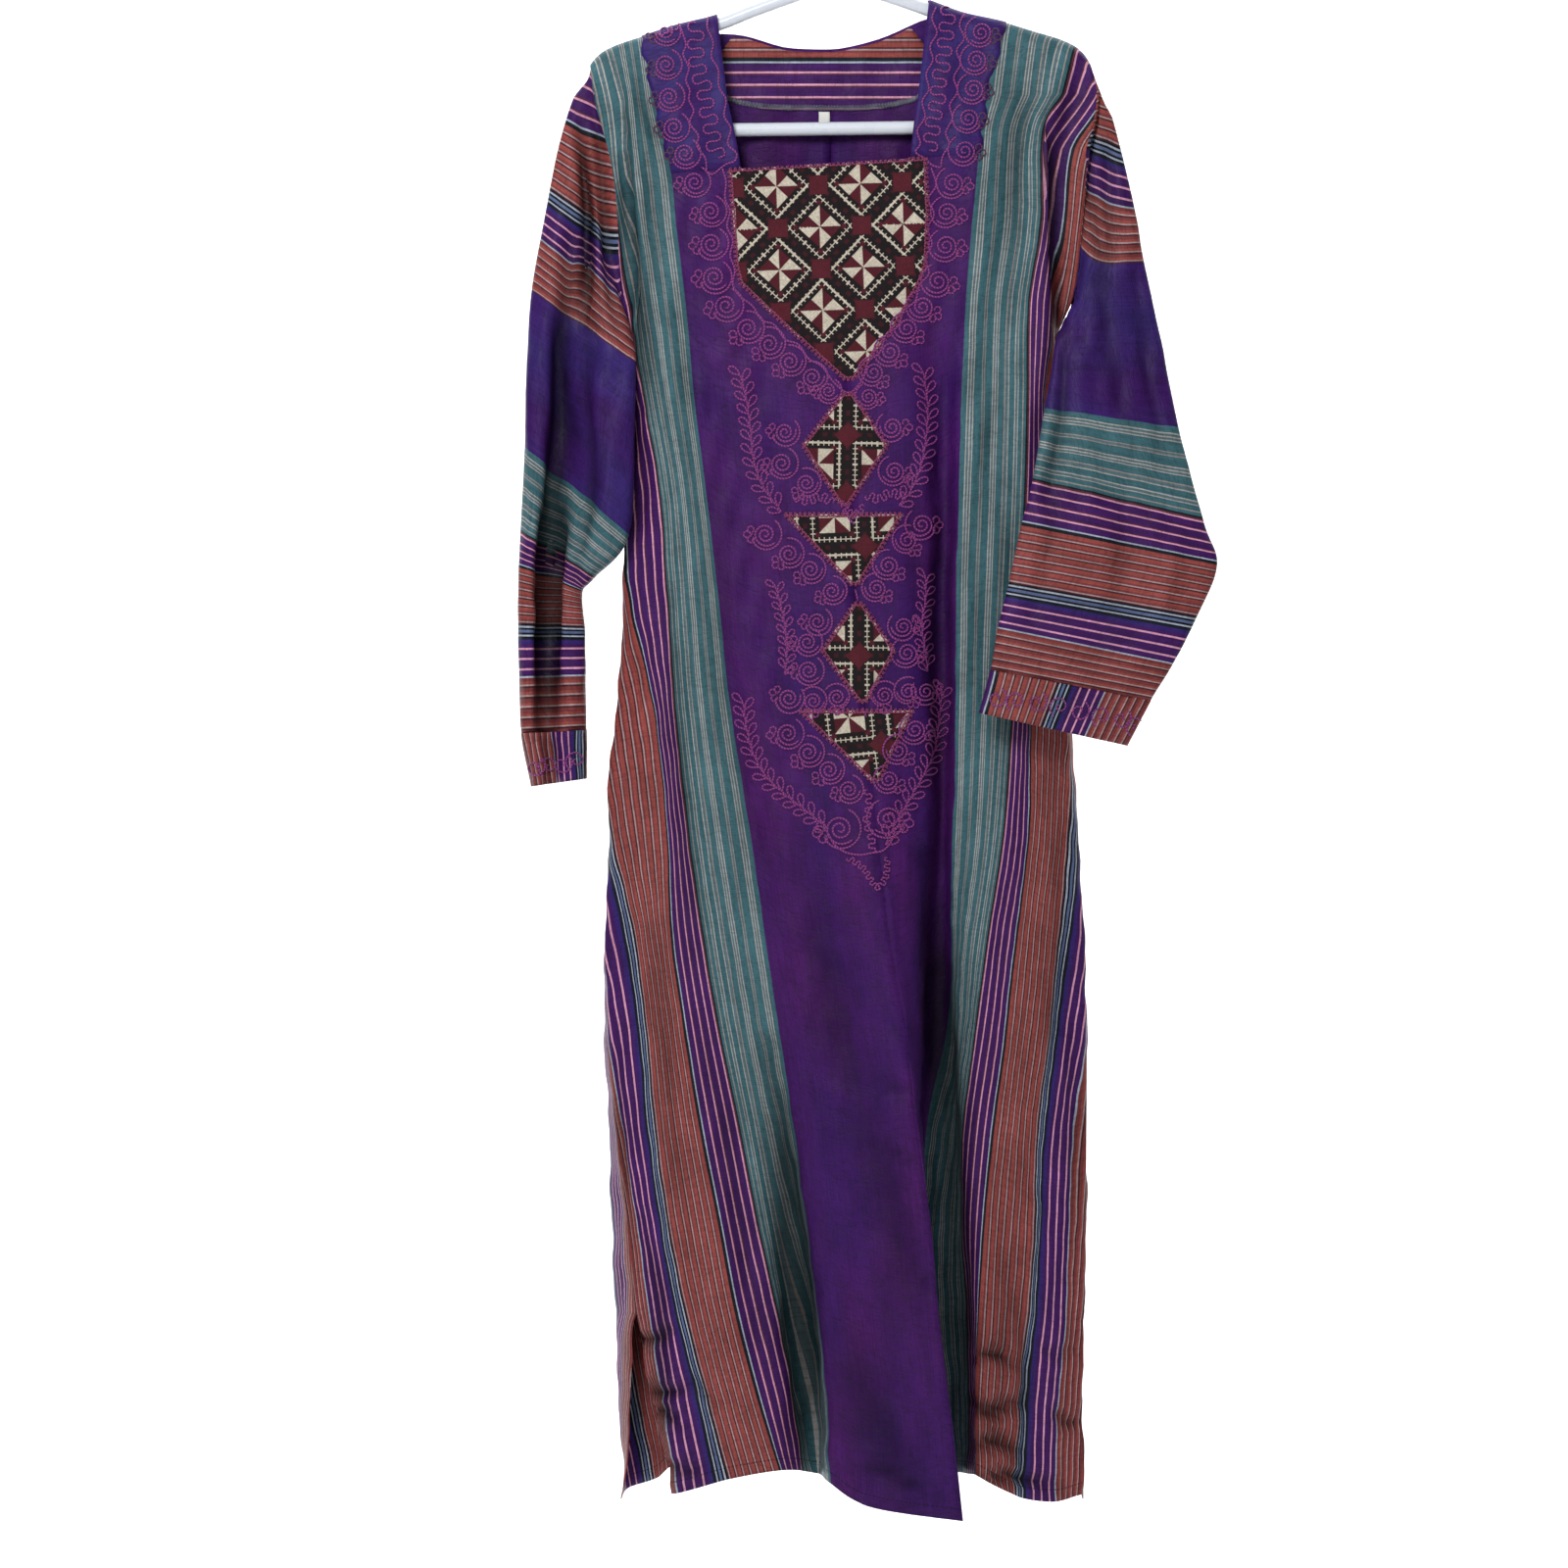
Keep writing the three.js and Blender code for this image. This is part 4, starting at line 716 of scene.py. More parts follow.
def panel_of(side, is_back):
    """One width of cloth from shoulder to hem, as a grid with its weft and warp."""
    section = back_section if is_back else front_section
    first = rounded_path(section(side, LEVELS[0])[: ARM + 1], STATIONS)
    turn = turned_rows(first, (BACK_CREST_X if is_back else CREST_X)[side], is_back)
    blend = [lerp(turn[-1], first, k / TURN_BLEND) for k in range(1, TURN_BLEND)]
    stops = [LEVELS[0], NECKLINE, UNDERARM, SLIT_TOP, HEM]
    levels = [LEVELS[0]]
    for a, b in zip(stops, stops[1:]):
        steps = math.ceil((a - b) / ROW_STEP)
        levels += [lerp(a, b, k / steps) for k in range(1, steps + 1)]
    rows = [*turn, *blend]
    turn_levels = [lerp(CREST_LEVEL, LEVELS[0], k / len(rows)) for k in range(len(rows))]
    for level in levels:
        lines = section(side, level)
        rows.append(rounded_path(lines[: ARM + 1] if level > UNDERARM else lines, STATIONS))
    levels = turn_levels + levels
    rows = np.array([whole_row(row) for row in rows])
    neck_row, arm_row = levels.index(NECKLINE), levels.index(UNDERARM)
    exists = np.ones((len(rows) - 1, rows.shape[1] - 1), bool)
    exists[:arm_row, ARM * STATIONS :] = False
    if is_back:
        exists[: len(turn) - 1, : TUCK * STATIONS] = False
    else:
        exists[:neck_row, : NECK * STATIONS] = False
    weft = np.array([weft_of(row, side, level, is_back) for row, level in zip(rows, levels)])
    steps_down = np.vstack([np.linalg.norm(np.diff(rows, axis=0), axis=2), np.zeros(rows.shape[1])])
    warp = np.flip(np.cumsum(np.flip(steps_down, 0), 0), 0)
    normals = normals_of(rows, (0, 1 if is_back else -1, 0))
    name = ("back_" if is_back else "front_") + side
    run = np.array([lengths_along(row) for row in rows])
    ends = np.array([run[i, (ARM if i < arm_row else SIDE) * STATIONS] for i in range(len(rows))])
    is_open = np.array([level < SLIT_TOP for level in levels])
    from_side = np.where(is_open[:, None], EDGE_CALM, ends[:, None] - run)
    from_crest = np.linalg.norm(rows - rows[0], axis=2) * 0.6
    if not is_back:
        from_middle = np.where(np.array(levels)[:, None] > NECKLINE, EDGE_CALM, run)
    else:
        from_middle = run
    calm = np.clip(np.minimum(np.minimum(from_side, from_crest), from_middle) / EDGE_CALM, 0, 1)
    rows, fold = creased(rows, normals, name, calm)
    return {
        "rows": rows, "fold": fold, "levels": levels, "exists": exists, "normals": normals, "weft": weft, "warp": warp,
        "arm_row": arm_row, "neck_row": neck_row,
    }


def arm_edge(panel):
    edge = panel["rows"][: panel["arm_row"] + 1, ARM * STATIONS]
    return edge[::-1]


def sleeve_ring(side, values, panels, seam_share):
    """One ring of a sleeve. Where seam_share is above 0 it closes in on the armhole's own edge."""
    out_x, out_z, in_x, in_z, front, back, out_y, in_y, crease = values[:9]
    angle = np.arange(SLEEVE_AROUND + 1) / SLEEVE_AROUND * 2 * np.pi
    share = (1 - np.cos(angle)) / 2
    is_front = angle < np.pi
    rise = np.abs(np.sin(angle))
    full = rise ** lerp(0.5, 0.3, seam_share)
    z = lerp(out_z, in_z, share)
    x = lerp(out_x, in_x, share)
    fold = np.exp(-(((share - CREASE_AT) / CREASE_WIDTH) ** 2)) * crease
    y = lerp(out_y, in_y, share) + np.where(is_front, fold - front * full, back * full - fold / 2)
    if seam_share:
        for isf, panel in ((True, panels["front_" + side]), (False, panels["back_" + side])):
            edge = arm_edge(panel)
            at = is_front == isf
            x[at] = lerp(x[at], np.interp(z[at], edge[:, 2], edge[:, 0]), seam_share)
            y[at] = lerp(y[at], np.interp(z[at], edge[:, 2], edge[:, 1]), seam_share)
    return np.stack([x, y, z], axis=1)


def tube_of(side, table, start, stop, steps, panels, name):
    """Rings of a sleeve or a cuff, from one row of its table to another."""
    keys = list(range(len(table)))
    rings, wefts = [], []
    for at in np.linspace(start, stop, steps + 1):
        values = along(keys, table, at)
        rings.append(sleeve_ring(side, values, panels, max(0, 1 - at) if start == 0 else 0))
        share = (1 - np.cos(np.arange(SLEEVE_AROUND + 1) / SLEEVE_AROUND * 2 * np.pi)) / 2
        if name == "sleeve_left":
            jump = np.clip((share - FOLD_AT + 0.06) / 0.12, 0, 1)
            jumped = 0.5 * share + 0.5 * jump * jump * (3 - 2 * jump)
            share = lerp(share, jumped, smoothstep(at, 2, 5) * (1 - smoothstep(at, 8, 10)))
        wefts.append(lerp(values[9], values[10], share))
    rings = np.array(rings)
    middle = rings.mean(axis=1, keepdims=True)
    normals = normals_of(rings, rings - middle)
    from_start = np.linalg.norm(rings - rings[0], axis=2)
    from_edge = np.abs(np.sin(np.arange(SLEEVE_AROUND + 1) / SLEEVE_AROUND * 2 * np.pi))
    calm = np.clip(from_start / EDGE_CALM, 0, 1) * np.clip(from_edge * 2.5, 0, 1)
    rings, fold = creased(rings, normals, name, calm)
    fold[:, -1] = fold[:, 0]
    rings[:, -1] = rings[:, 0]
    around = np.array([lengths_along(ring) for ring in rings])
    exists = np.ones((len(rings) - 1, SLEEVE_AROUND), bool)
    return {"rows": rings, "fold": fold, "exists": exists, "normals": normals, "weft": np.array(wefts), "warp": around}


# Materials


def srgb(red, green, blue):
    """Screen values from 0 to 255 as the linear colour that a shader takes."""
    values = []
    for value in (red, green, blue):
        share = value / 255
        values.append(share / 12.92 if share <= 0.04045 else ((share + 0.055) / 1.055) ** 2.4)
    return tuple(values)


def add_node(tree, kind, *inputs, **settings):
    """Adds a shader node, and feeds its inputs in order from sockets or plain values. None leaves one alone."""
    made = tree.nodes.new(kind)
    for field, value in settings.items():
        setattr(made, field, value)
    for socket, value in zip(made.inputs, inputs):
        if isinstance(value, bpy.types.NodeSocket):
            tree.links.new(value, socket)
        elif value is not None:
            socket.default_value = value
    return made


def calc(tree, operation, *values):
    return add_node(tree, "ShaderNodeMath", *values, operation=operation).outputs[0]


def mixed(tree, share, first, second):
    """A colour between two others. Each is a socket or a linear colour."""
    mix = tree.nodes.new("ShaderNodeMix")
    mix.data_type = "RGBA"
    for socket, value in ((mix.inputs[0], share), (mix.inputs[6], first), (mix.inputs[7], second)):
        if isinstance(value, bpy.types.NodeSocket):
            tree.links.new(value, socket)
        else:
            socket.default_value = (*value, 1) if hasattr(value, "__len__") else value
    return mix.outputs[2]


def scaled(tree, vector, scale, detail=2.0):
    """Noise from 0 to 1, stretched by scale along the vector's own axes."""
    mapping = add_node(tree, "ShaderNodeMapping", vector)
    mapping.inputs["Scale"].default_value = scale
    noise_node = add_node(tree, "ShaderNodeTexNoise", mapping.outputs[0])
    noise_node.inputs["Scale"].default_value = 1.0
    noise_node.inputs["Detail"].default_value = detail
    return noise_node.outputs[0]


def shaded(tree, colour, share, low, high):
    """Brightens and darkens a colour as share goes from 0 to 1."""
    value = add_node(tree, "ShaderNodeMapRange", share, 0.0, 1.0, low, high).outputs[0]
    made = tree.nodes.new("ShaderNodeHueSaturation")
    tree.links.new(value, made.inputs["Value"])
    if isinstance(colour, bpy.types.NodeSocket):
        tree.links.new(colour, made.inputs["Color"])
    else:
        made.inputs["Color"].default_value = (*colour, 1)
    return made.outputs[0]


def new_material(name, **surface):
    """A material with its principled shader's own sockets set."""
    old = bpy.data.materials.get(name)
    if old:
        bpy.data.materials.remove(old)
    material = bpy.data.materials.new(name)
    material.use_nodes = True
    tree = material.node_tree
    shader = tree.nodes["Principled BSDF"]
    for socket, value in surface.items():
        shader.inputs[socket.replace("_", " ")].default_value = value
    return material, tree, shader


def uv_in_mm(tree):
    """The piece's own UV map in millimetres, and its two numbers."""
    uv = add_node(tree, "ShaderNodeTexCoord").outputs["UV"]
    scale = add_node(tree, "ShaderNodeVectorMath", uv, operation="SCALE")
    scale.inputs["Scale"].default_value = 1000.0
    split = add_node(tree, "ShaderNodeSeparateXYZ", scale.outputs[0])
    return scale.outputs[0], split.outputs[0], split.outputs[1]


def bumped(tree, shader, height, distance, strength=0.6):
    bump = tree.nodes.new("ShaderNodeBump")
    bump.inputs["Strength"].default_value = strength
    bump.inputs["Distance"].default_value = distance
    tree.links.new(height, bump.inputs["Height"])
    tree.links.new(bump.outputs[0], shader.inputs["Normal"])


def crumpled(tree, colour, vector):
    """Paints light and shade of small crumples into a cloth's colour, and gives their height: several soft ones,
    sharpened to short creases.
    """
    soft = scaled(tree, vector, (0.045, 0.02, 1), 3.0)
    fine = scaled(tree, vector, (0.05, 0.13, 1), 4.0)
    sharp = calc(tree, "ABSOLUTE", calc(tree, "SUBTRACT", fine, 0.5))
    line = add_node(tree, "ShaderNodeMapRange", sharp, 0.0, 0.035, 0.0, 1.0).outputs[0]
    # painted light and shade: brighter and darker over the soft crumples, darker along the short creases
    colour = shaded(tree, colour, soft, 0.62, 1.38)
    colour = shaded(tree, colour, line, 0.8, 1.03)
    return colour, calc(tree, "ADD", calc(tree, "MULTIPLY", soft, 4.0), calc(tree, "MULTIPLY", line, 1.5))


# The warp's colours across the loom, mm from the start of each band: one repeat of the stripes
THREADS = {
    "purple": srgb(52, 20, 84),
    "magenta": srgb(68, 22, 84),
    "night": srgb(46, 36, 98),
    "teal": srgb(56, 92, 100),
    "tealgrey": srgb(78, 100, 106),
    "grey": srgb(150, 148, 146),
    "shadow": srgb(22, 26, 34),
    "ash": srgb(136, 126, 122),
    "redbrown": srgb(82, 40, 54),
    "pink": srgb(194, 138, 162),
    "plum": srgb(58, 24, 82),
    "violet": srgb(48, 32, 96),
    "ink": srgb(16, 16, 28),
    "white": srgb(150, 158, 172),
    "blue": srgb(82, 96, 130),
    "brown": srgb(70, 32, 36),
    "rust": srgb(134, 64, 60),
    "clay": srgb(110, 52, 54),
    "dust": srgb(152, 130, 132),
}
REPEAT = 390


def repeated(times, pitch, *stops):
    """A group of stripes many times over."""
    return [(k * pitch + offset, thread) for k in range(times) for offset, thread in stops]


BANDS = [
    # start, width, stops as (offset, thread)
    (0, 137, [(0, "purple")]),
    (137, 73.5, [
        (0, "teal"), (5.4, "grey"), (6.5, "tealgrey"), (8.4, "grey"), (9.5, "tealgrey"), (11.3, "grey"),
        (12.4, "teal"), (21, "ash"), (22.1, "tealgrey"), (23.9, "ash"), (24.9, "teal"), (32.8, "grey"),
        (33.9, "tealgrey"), (35.8, "grey"), (36.8, "tealgrey"), (38.6, "grey"), (39.6, "teal"), (46.2, "ash"),
        (47.3, "tealgrey"), (50.3, "grey"), (51.4, "teal"), (57.4, "grey"), (58.4, "tealgrey"), (60.6, "grey"),
        (61.6, "teal"), (66, "ash"), (67, "teal"), (70, "shadow"), (71.6, "redbrown"),
    ]),
    (210.5, 39.5, [
        (0, "pink"), (1.4, "plum"), (7.6, "redbrown"), (8.6, "pink"), (10.1, "plum"), (16.8, "redbrown"),
        (18, "pink"), (19.5, "plum"), (26.2, "redbrown"), (27.2, "pink"), (28.7, "plum"), (35, "white"),
        (36.4, "shadow"),
    ]),
    (250, 52.6, repeated(7, 7.51, (0, "rust"), (3.2, "clay"), (5, "dust"), (6.2, "brown"))),
    (302.6, 12, [
        (0, "ink"), (1.6, "white"), (3.2, "ink"), (5, "blue"), (7.4, "ink"), (9.2, "white"), (10.6, "ink"),
    ]),
    (314.6, 31.4, [
        (0, "shadow"), (1.4, "violet"), (5, "plum"), (8, "pink"), (9.6, "plum"), (16, "pink"), (17.6, "plum"),
        (24, "pink"), (25.6, "plum"), (30, "white"),
    ]),
    (346, 44, repeated(6, 7.33, (0, "clay"), (2.6, "rust"), (4.8, "dust"), (6, "brown"))),
]


def striped_cloth(name, shift, ground, hem_line=False):
    """Warp-striped silk: the loom's width starts at shift along u, and ground is its purple's second thread."""
    material, tree, shader = new_material(
        name, Roughness=0.46, Specular_IOR_Level=0.1, Sheen_Weight=0.02, Sheen_Roughness=0.3,
        Sheen_Tint=(*srgb(206, 168, 214), 1),
    )
    vector, u, v = uv_in_mm(tree)
    place = calc(tree, "FLOORED_MODULO", calc(tree, "ADD", u, shift), REPEAT)
    colour = None
    for start, width, stops in BANDS:
        share = calc(tree, "DIVIDE", calc(tree, "SUBTRACT", place, start), width)
        ramp = add_node(tree, "ShaderNodeValToRGB", share)
        ramp.color_ramp.interpolation = "CONSTANT"
        elements = ramp.color_ramp.elements
        while len(elements) < len(stops):
            elements.new(1.0)
        while len(elements) > len(stops):
            elements.remove(elements[-1])
        for element, (offset, thread) in zip(elements, stops):
            element.position = offset / width
            element.color = (*THREADS[thread], 1)
        band = ramp.outputs[0]
        colour = band if colour is None else mixed(tree, calc(tree, "GREATER_THAN", place, start), colour, band)
    cloud = scaled(tree, vector, (0.013, 0.005, 1), 3.0)
    is_ground = calc(tree, "LESS_THAN", place, BANDS[1][0])
    tinted = add_node(tree, "ShaderNodeMapRange", cloud, 0.38, 0.62, 0.0, 0.7).outputs[0]
    colour = mixed(tree, calc(tree, "MULTIPLY", is_ground, tinted), colour, THREADS[ground])
    threads = scaled(tree, vector, (2.2, 0.14, 1))
    picks = scaled(tree, vector, (0.07, 1.1, 1), 3.0)
    slubs = scaled(tree, vector, (0.62, 0.02, 1))
    colour = shaded(tree, colour, threads, 0.55, 1.45)
    colour = shaded(tree, colour, picks, 0.66, 1.34)
    colour = shaded(tree, colour, slubs, 0.62, 1.38)
    colour, crumple = crumpled(tree, colour, vector)
    # Painted shade: the colour darkens to a fifth in the crease troughs, by the fold attribute
    fold = add_node(tree, "ShaderNodeAttribute", attribute_name="fold").outputs["Fac"]
    colour = shaded(tree, colour, fold, 1.0, 0.2)
    height = calc(tree, "ADD", calc(tree, "ADD", threads, crumple), calc(tree, "ADD", picks, slubs))
    if hem_line:
        near = calc(tree, "LESS_THAN", calc(tree, "ABSOLUTE", calc(tree, "SUBTRACT", v, HEM_STITCH)), 0.7)
        dash = calc(tree, "LESS_THAN", calc(tree, "FRACT", calc(tree, "DIVIDE", u, 4.2)), 0.66)
        stitch = calc(tree, "MULTIPLY", near, dash)
        colour = mixed(tree, calc(tree, "MULTIPLY", stitch, 0.6), colour, THREADS["ink"])
        height = calc(tree, "SUBTRACT", height, calc(tree, "MULTIPLY", near, 2.0))
    tree.links.new(colour, shader.inputs["Base Color"])
    bumped(tree, shader, height, 0.0004, 0.35)
    return material


def purple_cloth(name):
    """Shot silk, dark violet with a magenta weft."""
    material, tree, shader = new_material(
        name, Roughness=0.44, Specular_IOR_Level=0.1, Sheen_Weight=0.03, Sheen_Roughness=0.3,
        Sheen_Tint=(*srgb(150, 96, 226), 1),
    )
    vector = uv_in_mm(tree)[0]
    threads = scaled(tree, vector, (2.2, 0.2, 1))
    picks = scaled(tree, vector, (0.08, 1.1, 1), 3.0)
    cloud = scaled(tree, vector, (0.03, 0.02, 1))
    tinted = add_node(tree, "ShaderNodeMapRange", cloud, 0.35, 0.65, 0.0, 1.0).outputs[0]
    colour = mixed(tree, tinted, THREADS["purple"], THREADS["night"])
    colour = shaded(tree, colour, threads, 0.6, 1.4)
    colour = shaded(tree, colour, picks, 0.7, 1.3)
    colour, crumple = crumpled(tree, colour, vector)
    tree.links.new(colour, shader.inputs["Base Color"])
    bumped(tree, shader, calc(tree, "ADD", crumple, calc(tree, "ADD", threads, picks)), 0.0004, 0.35)
    return material


CROSS_REPEAT = 52.6
CROSS_COLOURS = {
    "burgundy": srgb(84, 20, 34),
    "black": srgb(24, 15, 19),
    "ivory": srgb(212, 202, 184),
    "crimson": srgb(88, 24, 38),
    "deep": srgb(62, 18, 28),
}
STITCH = 0.9  # one cross stitch


def cross_stitch_cloth(name):
    """Counted cross stitch: a lattice of white lines and dark red bands round ivory and burgundy pinwheels."""
    material, tree, shader = new_material(name, Roughness=0.86, Specular_IOR_Level=0.25, Sheen_Weight=0.05)
    vector, u, v = uv_in_mm(tree)

    def stepped(value):
        stitch = calc(tree, "FLOOR", calc(tree, "DIVIDE", value, STITCH))
        return calc(tree, "MULTIPLY", calc(tree, "ADD", stitch, 0.5), STITCH)

    def folded(value):
        """Distance from the middle of a repeat, with its sign."""
        turn = calc(tree, "ADD", stepped(value), CROSS_REPEAT / 2)
        return calc(tree, "SUBTRACT", calc(tree, "FLOORED_MODULO", turn, CROSS_REPEAT), CROSS_REPEAT / 2)

    def within(value, middle, reach):
        return calc(tree, "LESS_THAN", calc(tree, "ABSOLUTE", calc(tree, "SUBTRACT", value, middle)), reach)

    p, q = folded(u), folded(v)
    far_p, far_q = calc(tree, "ABSOLUTE", p), calc(tree, "ABSOLUTE", q)
    ring = calc(tree, "MAXIMUM", far_p, far_q)
    side = calc(tree, "MINIMUM", far_p, far_q)
    quarter = calc(tree, "GREATER_THAN", calc(tree, "MULTIPLY", p, q), 0.0)
    wide = calc(tree, "GREATER_THAN", far_p, far_q)
    wheel = calc(tree, "ABSOLUTE", calc(tree, "SUBTRACT", quarter, wide))
    colour = mixed(tree, wheel, CROSS_COLOURS["burgundy"], CROSS_COLOURS["ivory"])
    colour = mixed(tree, calc(tree, "GREATER_THAN", ring, 13.8), colour, CROSS_COLOURS["black"])
    corner = calc(tree, "GREATER_THAN", side, 12.2)
    colour = mixed(tree, calc(tree, "MULTIPLY", corner, within(ring, 15.4, 1.4)), colour, CROSS_COLOURS["burgundy"])
    tick = calc(tree, "LESS_THAN", calc(tree, "FRACT", calc(tree, "DIVIDE", side, 5 * STITCH)), 0.2)
    ticks = calc(tree, "MULTIPLY", tick, within(ring, 19.2, 2.3))
    colour = mixed(tree, calc(tree, "MAXIMUM", within(ring, 19.2, 0.6), ticks), colour, CROSS_COLOURS["ivory"])
    colour = mixed(tree, calc(tree, "GREATER_THAN", ring, 22.2), colour, CROSS_COLOURS["black"])
    check = calc(tree, "LESS_THAN", calc(tree, "FRACT", calc(tree, "DIVIDE", side, 8.8)), 0.5)
    band = calc(tree, "GREATER_THAN", ring, 24.4)
    colour = mixed(tree, band, colour, CROSS_COLOURS["deep"])
    colour = mixed(tree, calc(tree, "MULTIPLY", check, within(ring, 25.4, 1.2)), colour, CROSS_COLOURS["black"])
    crossing = calc(tree, "GREATER_THAN", calc(tree, "ADD", far_p, far_q), CROSS_REPEAT - 11.6)
    colour = mixed(tree, crossing, colour, CROSS_COLOURS["crimson"])
    wear = scaled(tree, vector, (0.09, 0.09, 1), 4.0)
    yarn = scaled(tree, vector, (0.5, 0.5, 1), 3.0)
    colour = shaded(tree, colour, yarn, 0.4, 1.4)
    colour = shaded(tree, colour, wear, 0.7, 1.26)
    tree.links.new(colour, shader.inputs["Base Color"])
    beads = []
    for value in (u, v):
        wave = calc(tree, "SINE", calc(tree, "MULTIPLY", value, 2 * math.pi / STITCH))
        beads.append(calc(tree, "ABSOLUTE", wave))
    bumped(tree, shader, calc(tree, "ADD", calc(tree, "MULTIPLY", *beads), yarn), 0.0006, 0.6)
    return material


def cord_material(name, first, second, lay):
    """Two plies twisted together; lay is the length of a whole turn, in mm. The first colour is the cord's own colour
    partly lightened as painted highlight on each turn's crown, and the second, darker one is painted shade in the
    grooves between turns.
    """
    material, tree, shader = new_material(name, Roughness=0.5, Specular_IOR_Level=0.35, Sheen_Weight=0.1)
    vector, u, v = uv_in_mm(tree)
    turn = calc(tree, "FRACT", calc(tree, "ADD", calc(tree, "DIVIDE", v, lay), calc(tree, "DIVIDE", u, 1000.0)))
    ply = calc(tree, "ABSOLUTE", calc(tree, "SUBTRACT", turn, 0.5))
    # painted highlight and shade: the first colour on the turns' crowns, the darker second in the grooves
    colour = mixed(tree, calc(tree, "LESS_THAN", ply, 0.25), first, second)
    fuzz = scaled(tree, vector, (0.02, 0.5, 1))
    colour = shaded(tree, colour, fuzz, 0.7, 1.3)
    groove = calc(tree, "ABSOLUTE", calc(tree, "SUBTRACT", ply, 0.25))
    tree.links.new(colour, shader.inputs["Base Color"])
    bumped(tree, shader, groove, 0.001, 0.7)
    return material


def plastic_material(name, colour):
    """Moulded, slightly scuffed plastic."""
    material, tree, shader = new_material(name, Roughness=0.28, Coat_Weight=0.25, Coat_Roughness=0.2)
    place = add_node(tree, "ShaderNodeTexCoord").outputs["Object"]
    scuff = scaled(tree, place, (60, 60, 60), 4.0)
    flow = scaled(tree, place, (14, 14, 14), 2.0)
    made = shaded(tree, colour, flow, 0.97, 1.03)
    tree.links.new(made, shader.inputs["Base Color"])
    rough = add_node(tree, "ShaderNodeMapRange", scuff, 0.3, 0.8, 0.22, 0.42).outputs[0]
    tree.links.new(rough, shader.inputs["Roughness"])
    bumped(tree, shader, scuff, 0.0002, 0.15)
    return material


def label_material(name):
    """Plain woven tape."""
    material, tree, shader = new_material(name, Roughness=0.75)
    vector, u, v = uv_in_mm(tree)
    weave = calc(tree, "SINE", calc(tree, "MULTIPLY", u, 9.0))
    weft = calc(tree, "SINE", calc(tree, "MULTIPLY", v, 9.0))
    height = calc(tree, "MULTIPLY", weave, weft)
    colour = shaded(tree, srgb(226, 226, 222), scaled(tree, vector, (0.5, 0.5, 1)), 0.92, 1.06)
    tree.links.new(colour, shader.inputs["Base Color"])
    bumped(tree, shader, height, 0.0002, 0.4)
    return material


def stage_material(name):
    """Matt paper, faintly mottled, and clear from behind, so that the back of the dress can be looked at."""
    material, tree, shader = new_material(name, Roughness=0.9)
    place = add_node(tree, "ShaderNodeTexCoord").outputs["Object"]
    colour = shaded(tree, (0.93, 0.93, 0.93), scaled(tree, place, (2, 2, 2)), 0.99, 1.01)
    tree.links.new(colour, shader.inputs["Base Color"])
    is_behind = add_node(tree, "ShaderNodeNewGeometry").outputs["Backfacing"]
    clear = tree.nodes.new("ShaderNodeBsdfTransparent")
    chosen = add_node(tree, "ShaderNodeMixShader", is_behind, shader.outputs[0], clear.outputs[0])
    tree.links.new(chosen.outputs[0], tree.nodes["Material Output"].inputs["Surface"])
    return material


# Meshes


def clear_selection():
    if bpy.context.object and bpy.context.object.mode != "OBJECT":
        bpy.ops.object.mode_set(mode="OBJECT")
    bpy.ops.object.select_all(action="DESELECT")


def made_object(name, vertices, faces, uvs, material):
    """A new object from points in mm, with one UV pair in mm for each point."""
    mesh = bpy.data.meshes.new(name)
    mesh.from_pydata((np.asarray(vertices) * MM).tolist(), [], faces)
    layer = mesh.uv_layers.new(name="cloth")
    corners = np.empty(len(mesh.loops), int)
    mesh.loops.foreach_get("vertex_index", corners)
    layer.data.foreach_set("uv", (np.asarray(uvs)[corners] * MM).ravel())
    mesh.polygons.foreach_set("use_smooth", np.ones(len(mesh.polygons), bool))
    mesh.materials.append(material)
    obj = bpy.data.objects.new(name, mesh)
    bpy.context.scene.collection.objects.link(obj)
    return obj


def grid_object(name, grid, material):
    """A grid of points as an object whose faces look the way that its normals do."""
    rows, exists = grid["rows"], grid["exists"]
    deep, wide = rows.shape[:2]
    faces = []
    middle = (slice(0, deep - 1), slice(0, wide - 1))
    across = rows[:-1, 1:] - rows[:-1, :-1]
    down = rows[1:, :-1] - rows[:-1, :-1]
    turn = np.sum(np.cross(down, across) * grid["normals"][middle], axis=2)
    forward = turn[exists].sum() > 0
    used = -np.ones(deep * wide, int)
    for i, j in zip(*np.nonzero(exists)):
        a, b, c, d = i * wide + j, (i + 1) * wide + j, (i + 1) * wide + j + 1, i * wide + j + 1
        faces.append((a, b, c, d) if forward else (a, d, c, b))
    kept = sorted({corner for face in faces for corner in face})
    used[kept] = np.arange(len(kept))
    faces = [tuple(int(used[corner]) for corner in face) for face in faces]
    uvs = np.stack([grid["weft"].ravel(), grid["warp"].ravel()], axis=1)[kept]
    obj = made_object(name, rows.reshape(-1, 3)[kept], faces, uvs, material)
    # the painted crease shade goes with the mesh as a point attribute
    if "fold" in grid:
        shade = obj.data.attributes.new("fold", "FLOAT", "POINT")
        shade.data.foreach_set("value", grid["fold"].ravel()[kept])
    weld(obj)
    return obj


def weld(obj):
    """Joins points that lie in one place, such as where a grid closes on itself."""
    shape = bmesh.new()
    shape.from_mesh(obj.data)
    bmesh.ops.remove_doubles(shape, verts=shape.verts, dist=1e-6)
    bmesh.ops.dissolve_degenerate(shape, edges=shape.edges, dist=1e-7)
    shape.to_mesh(obj.data)
    shape.free()


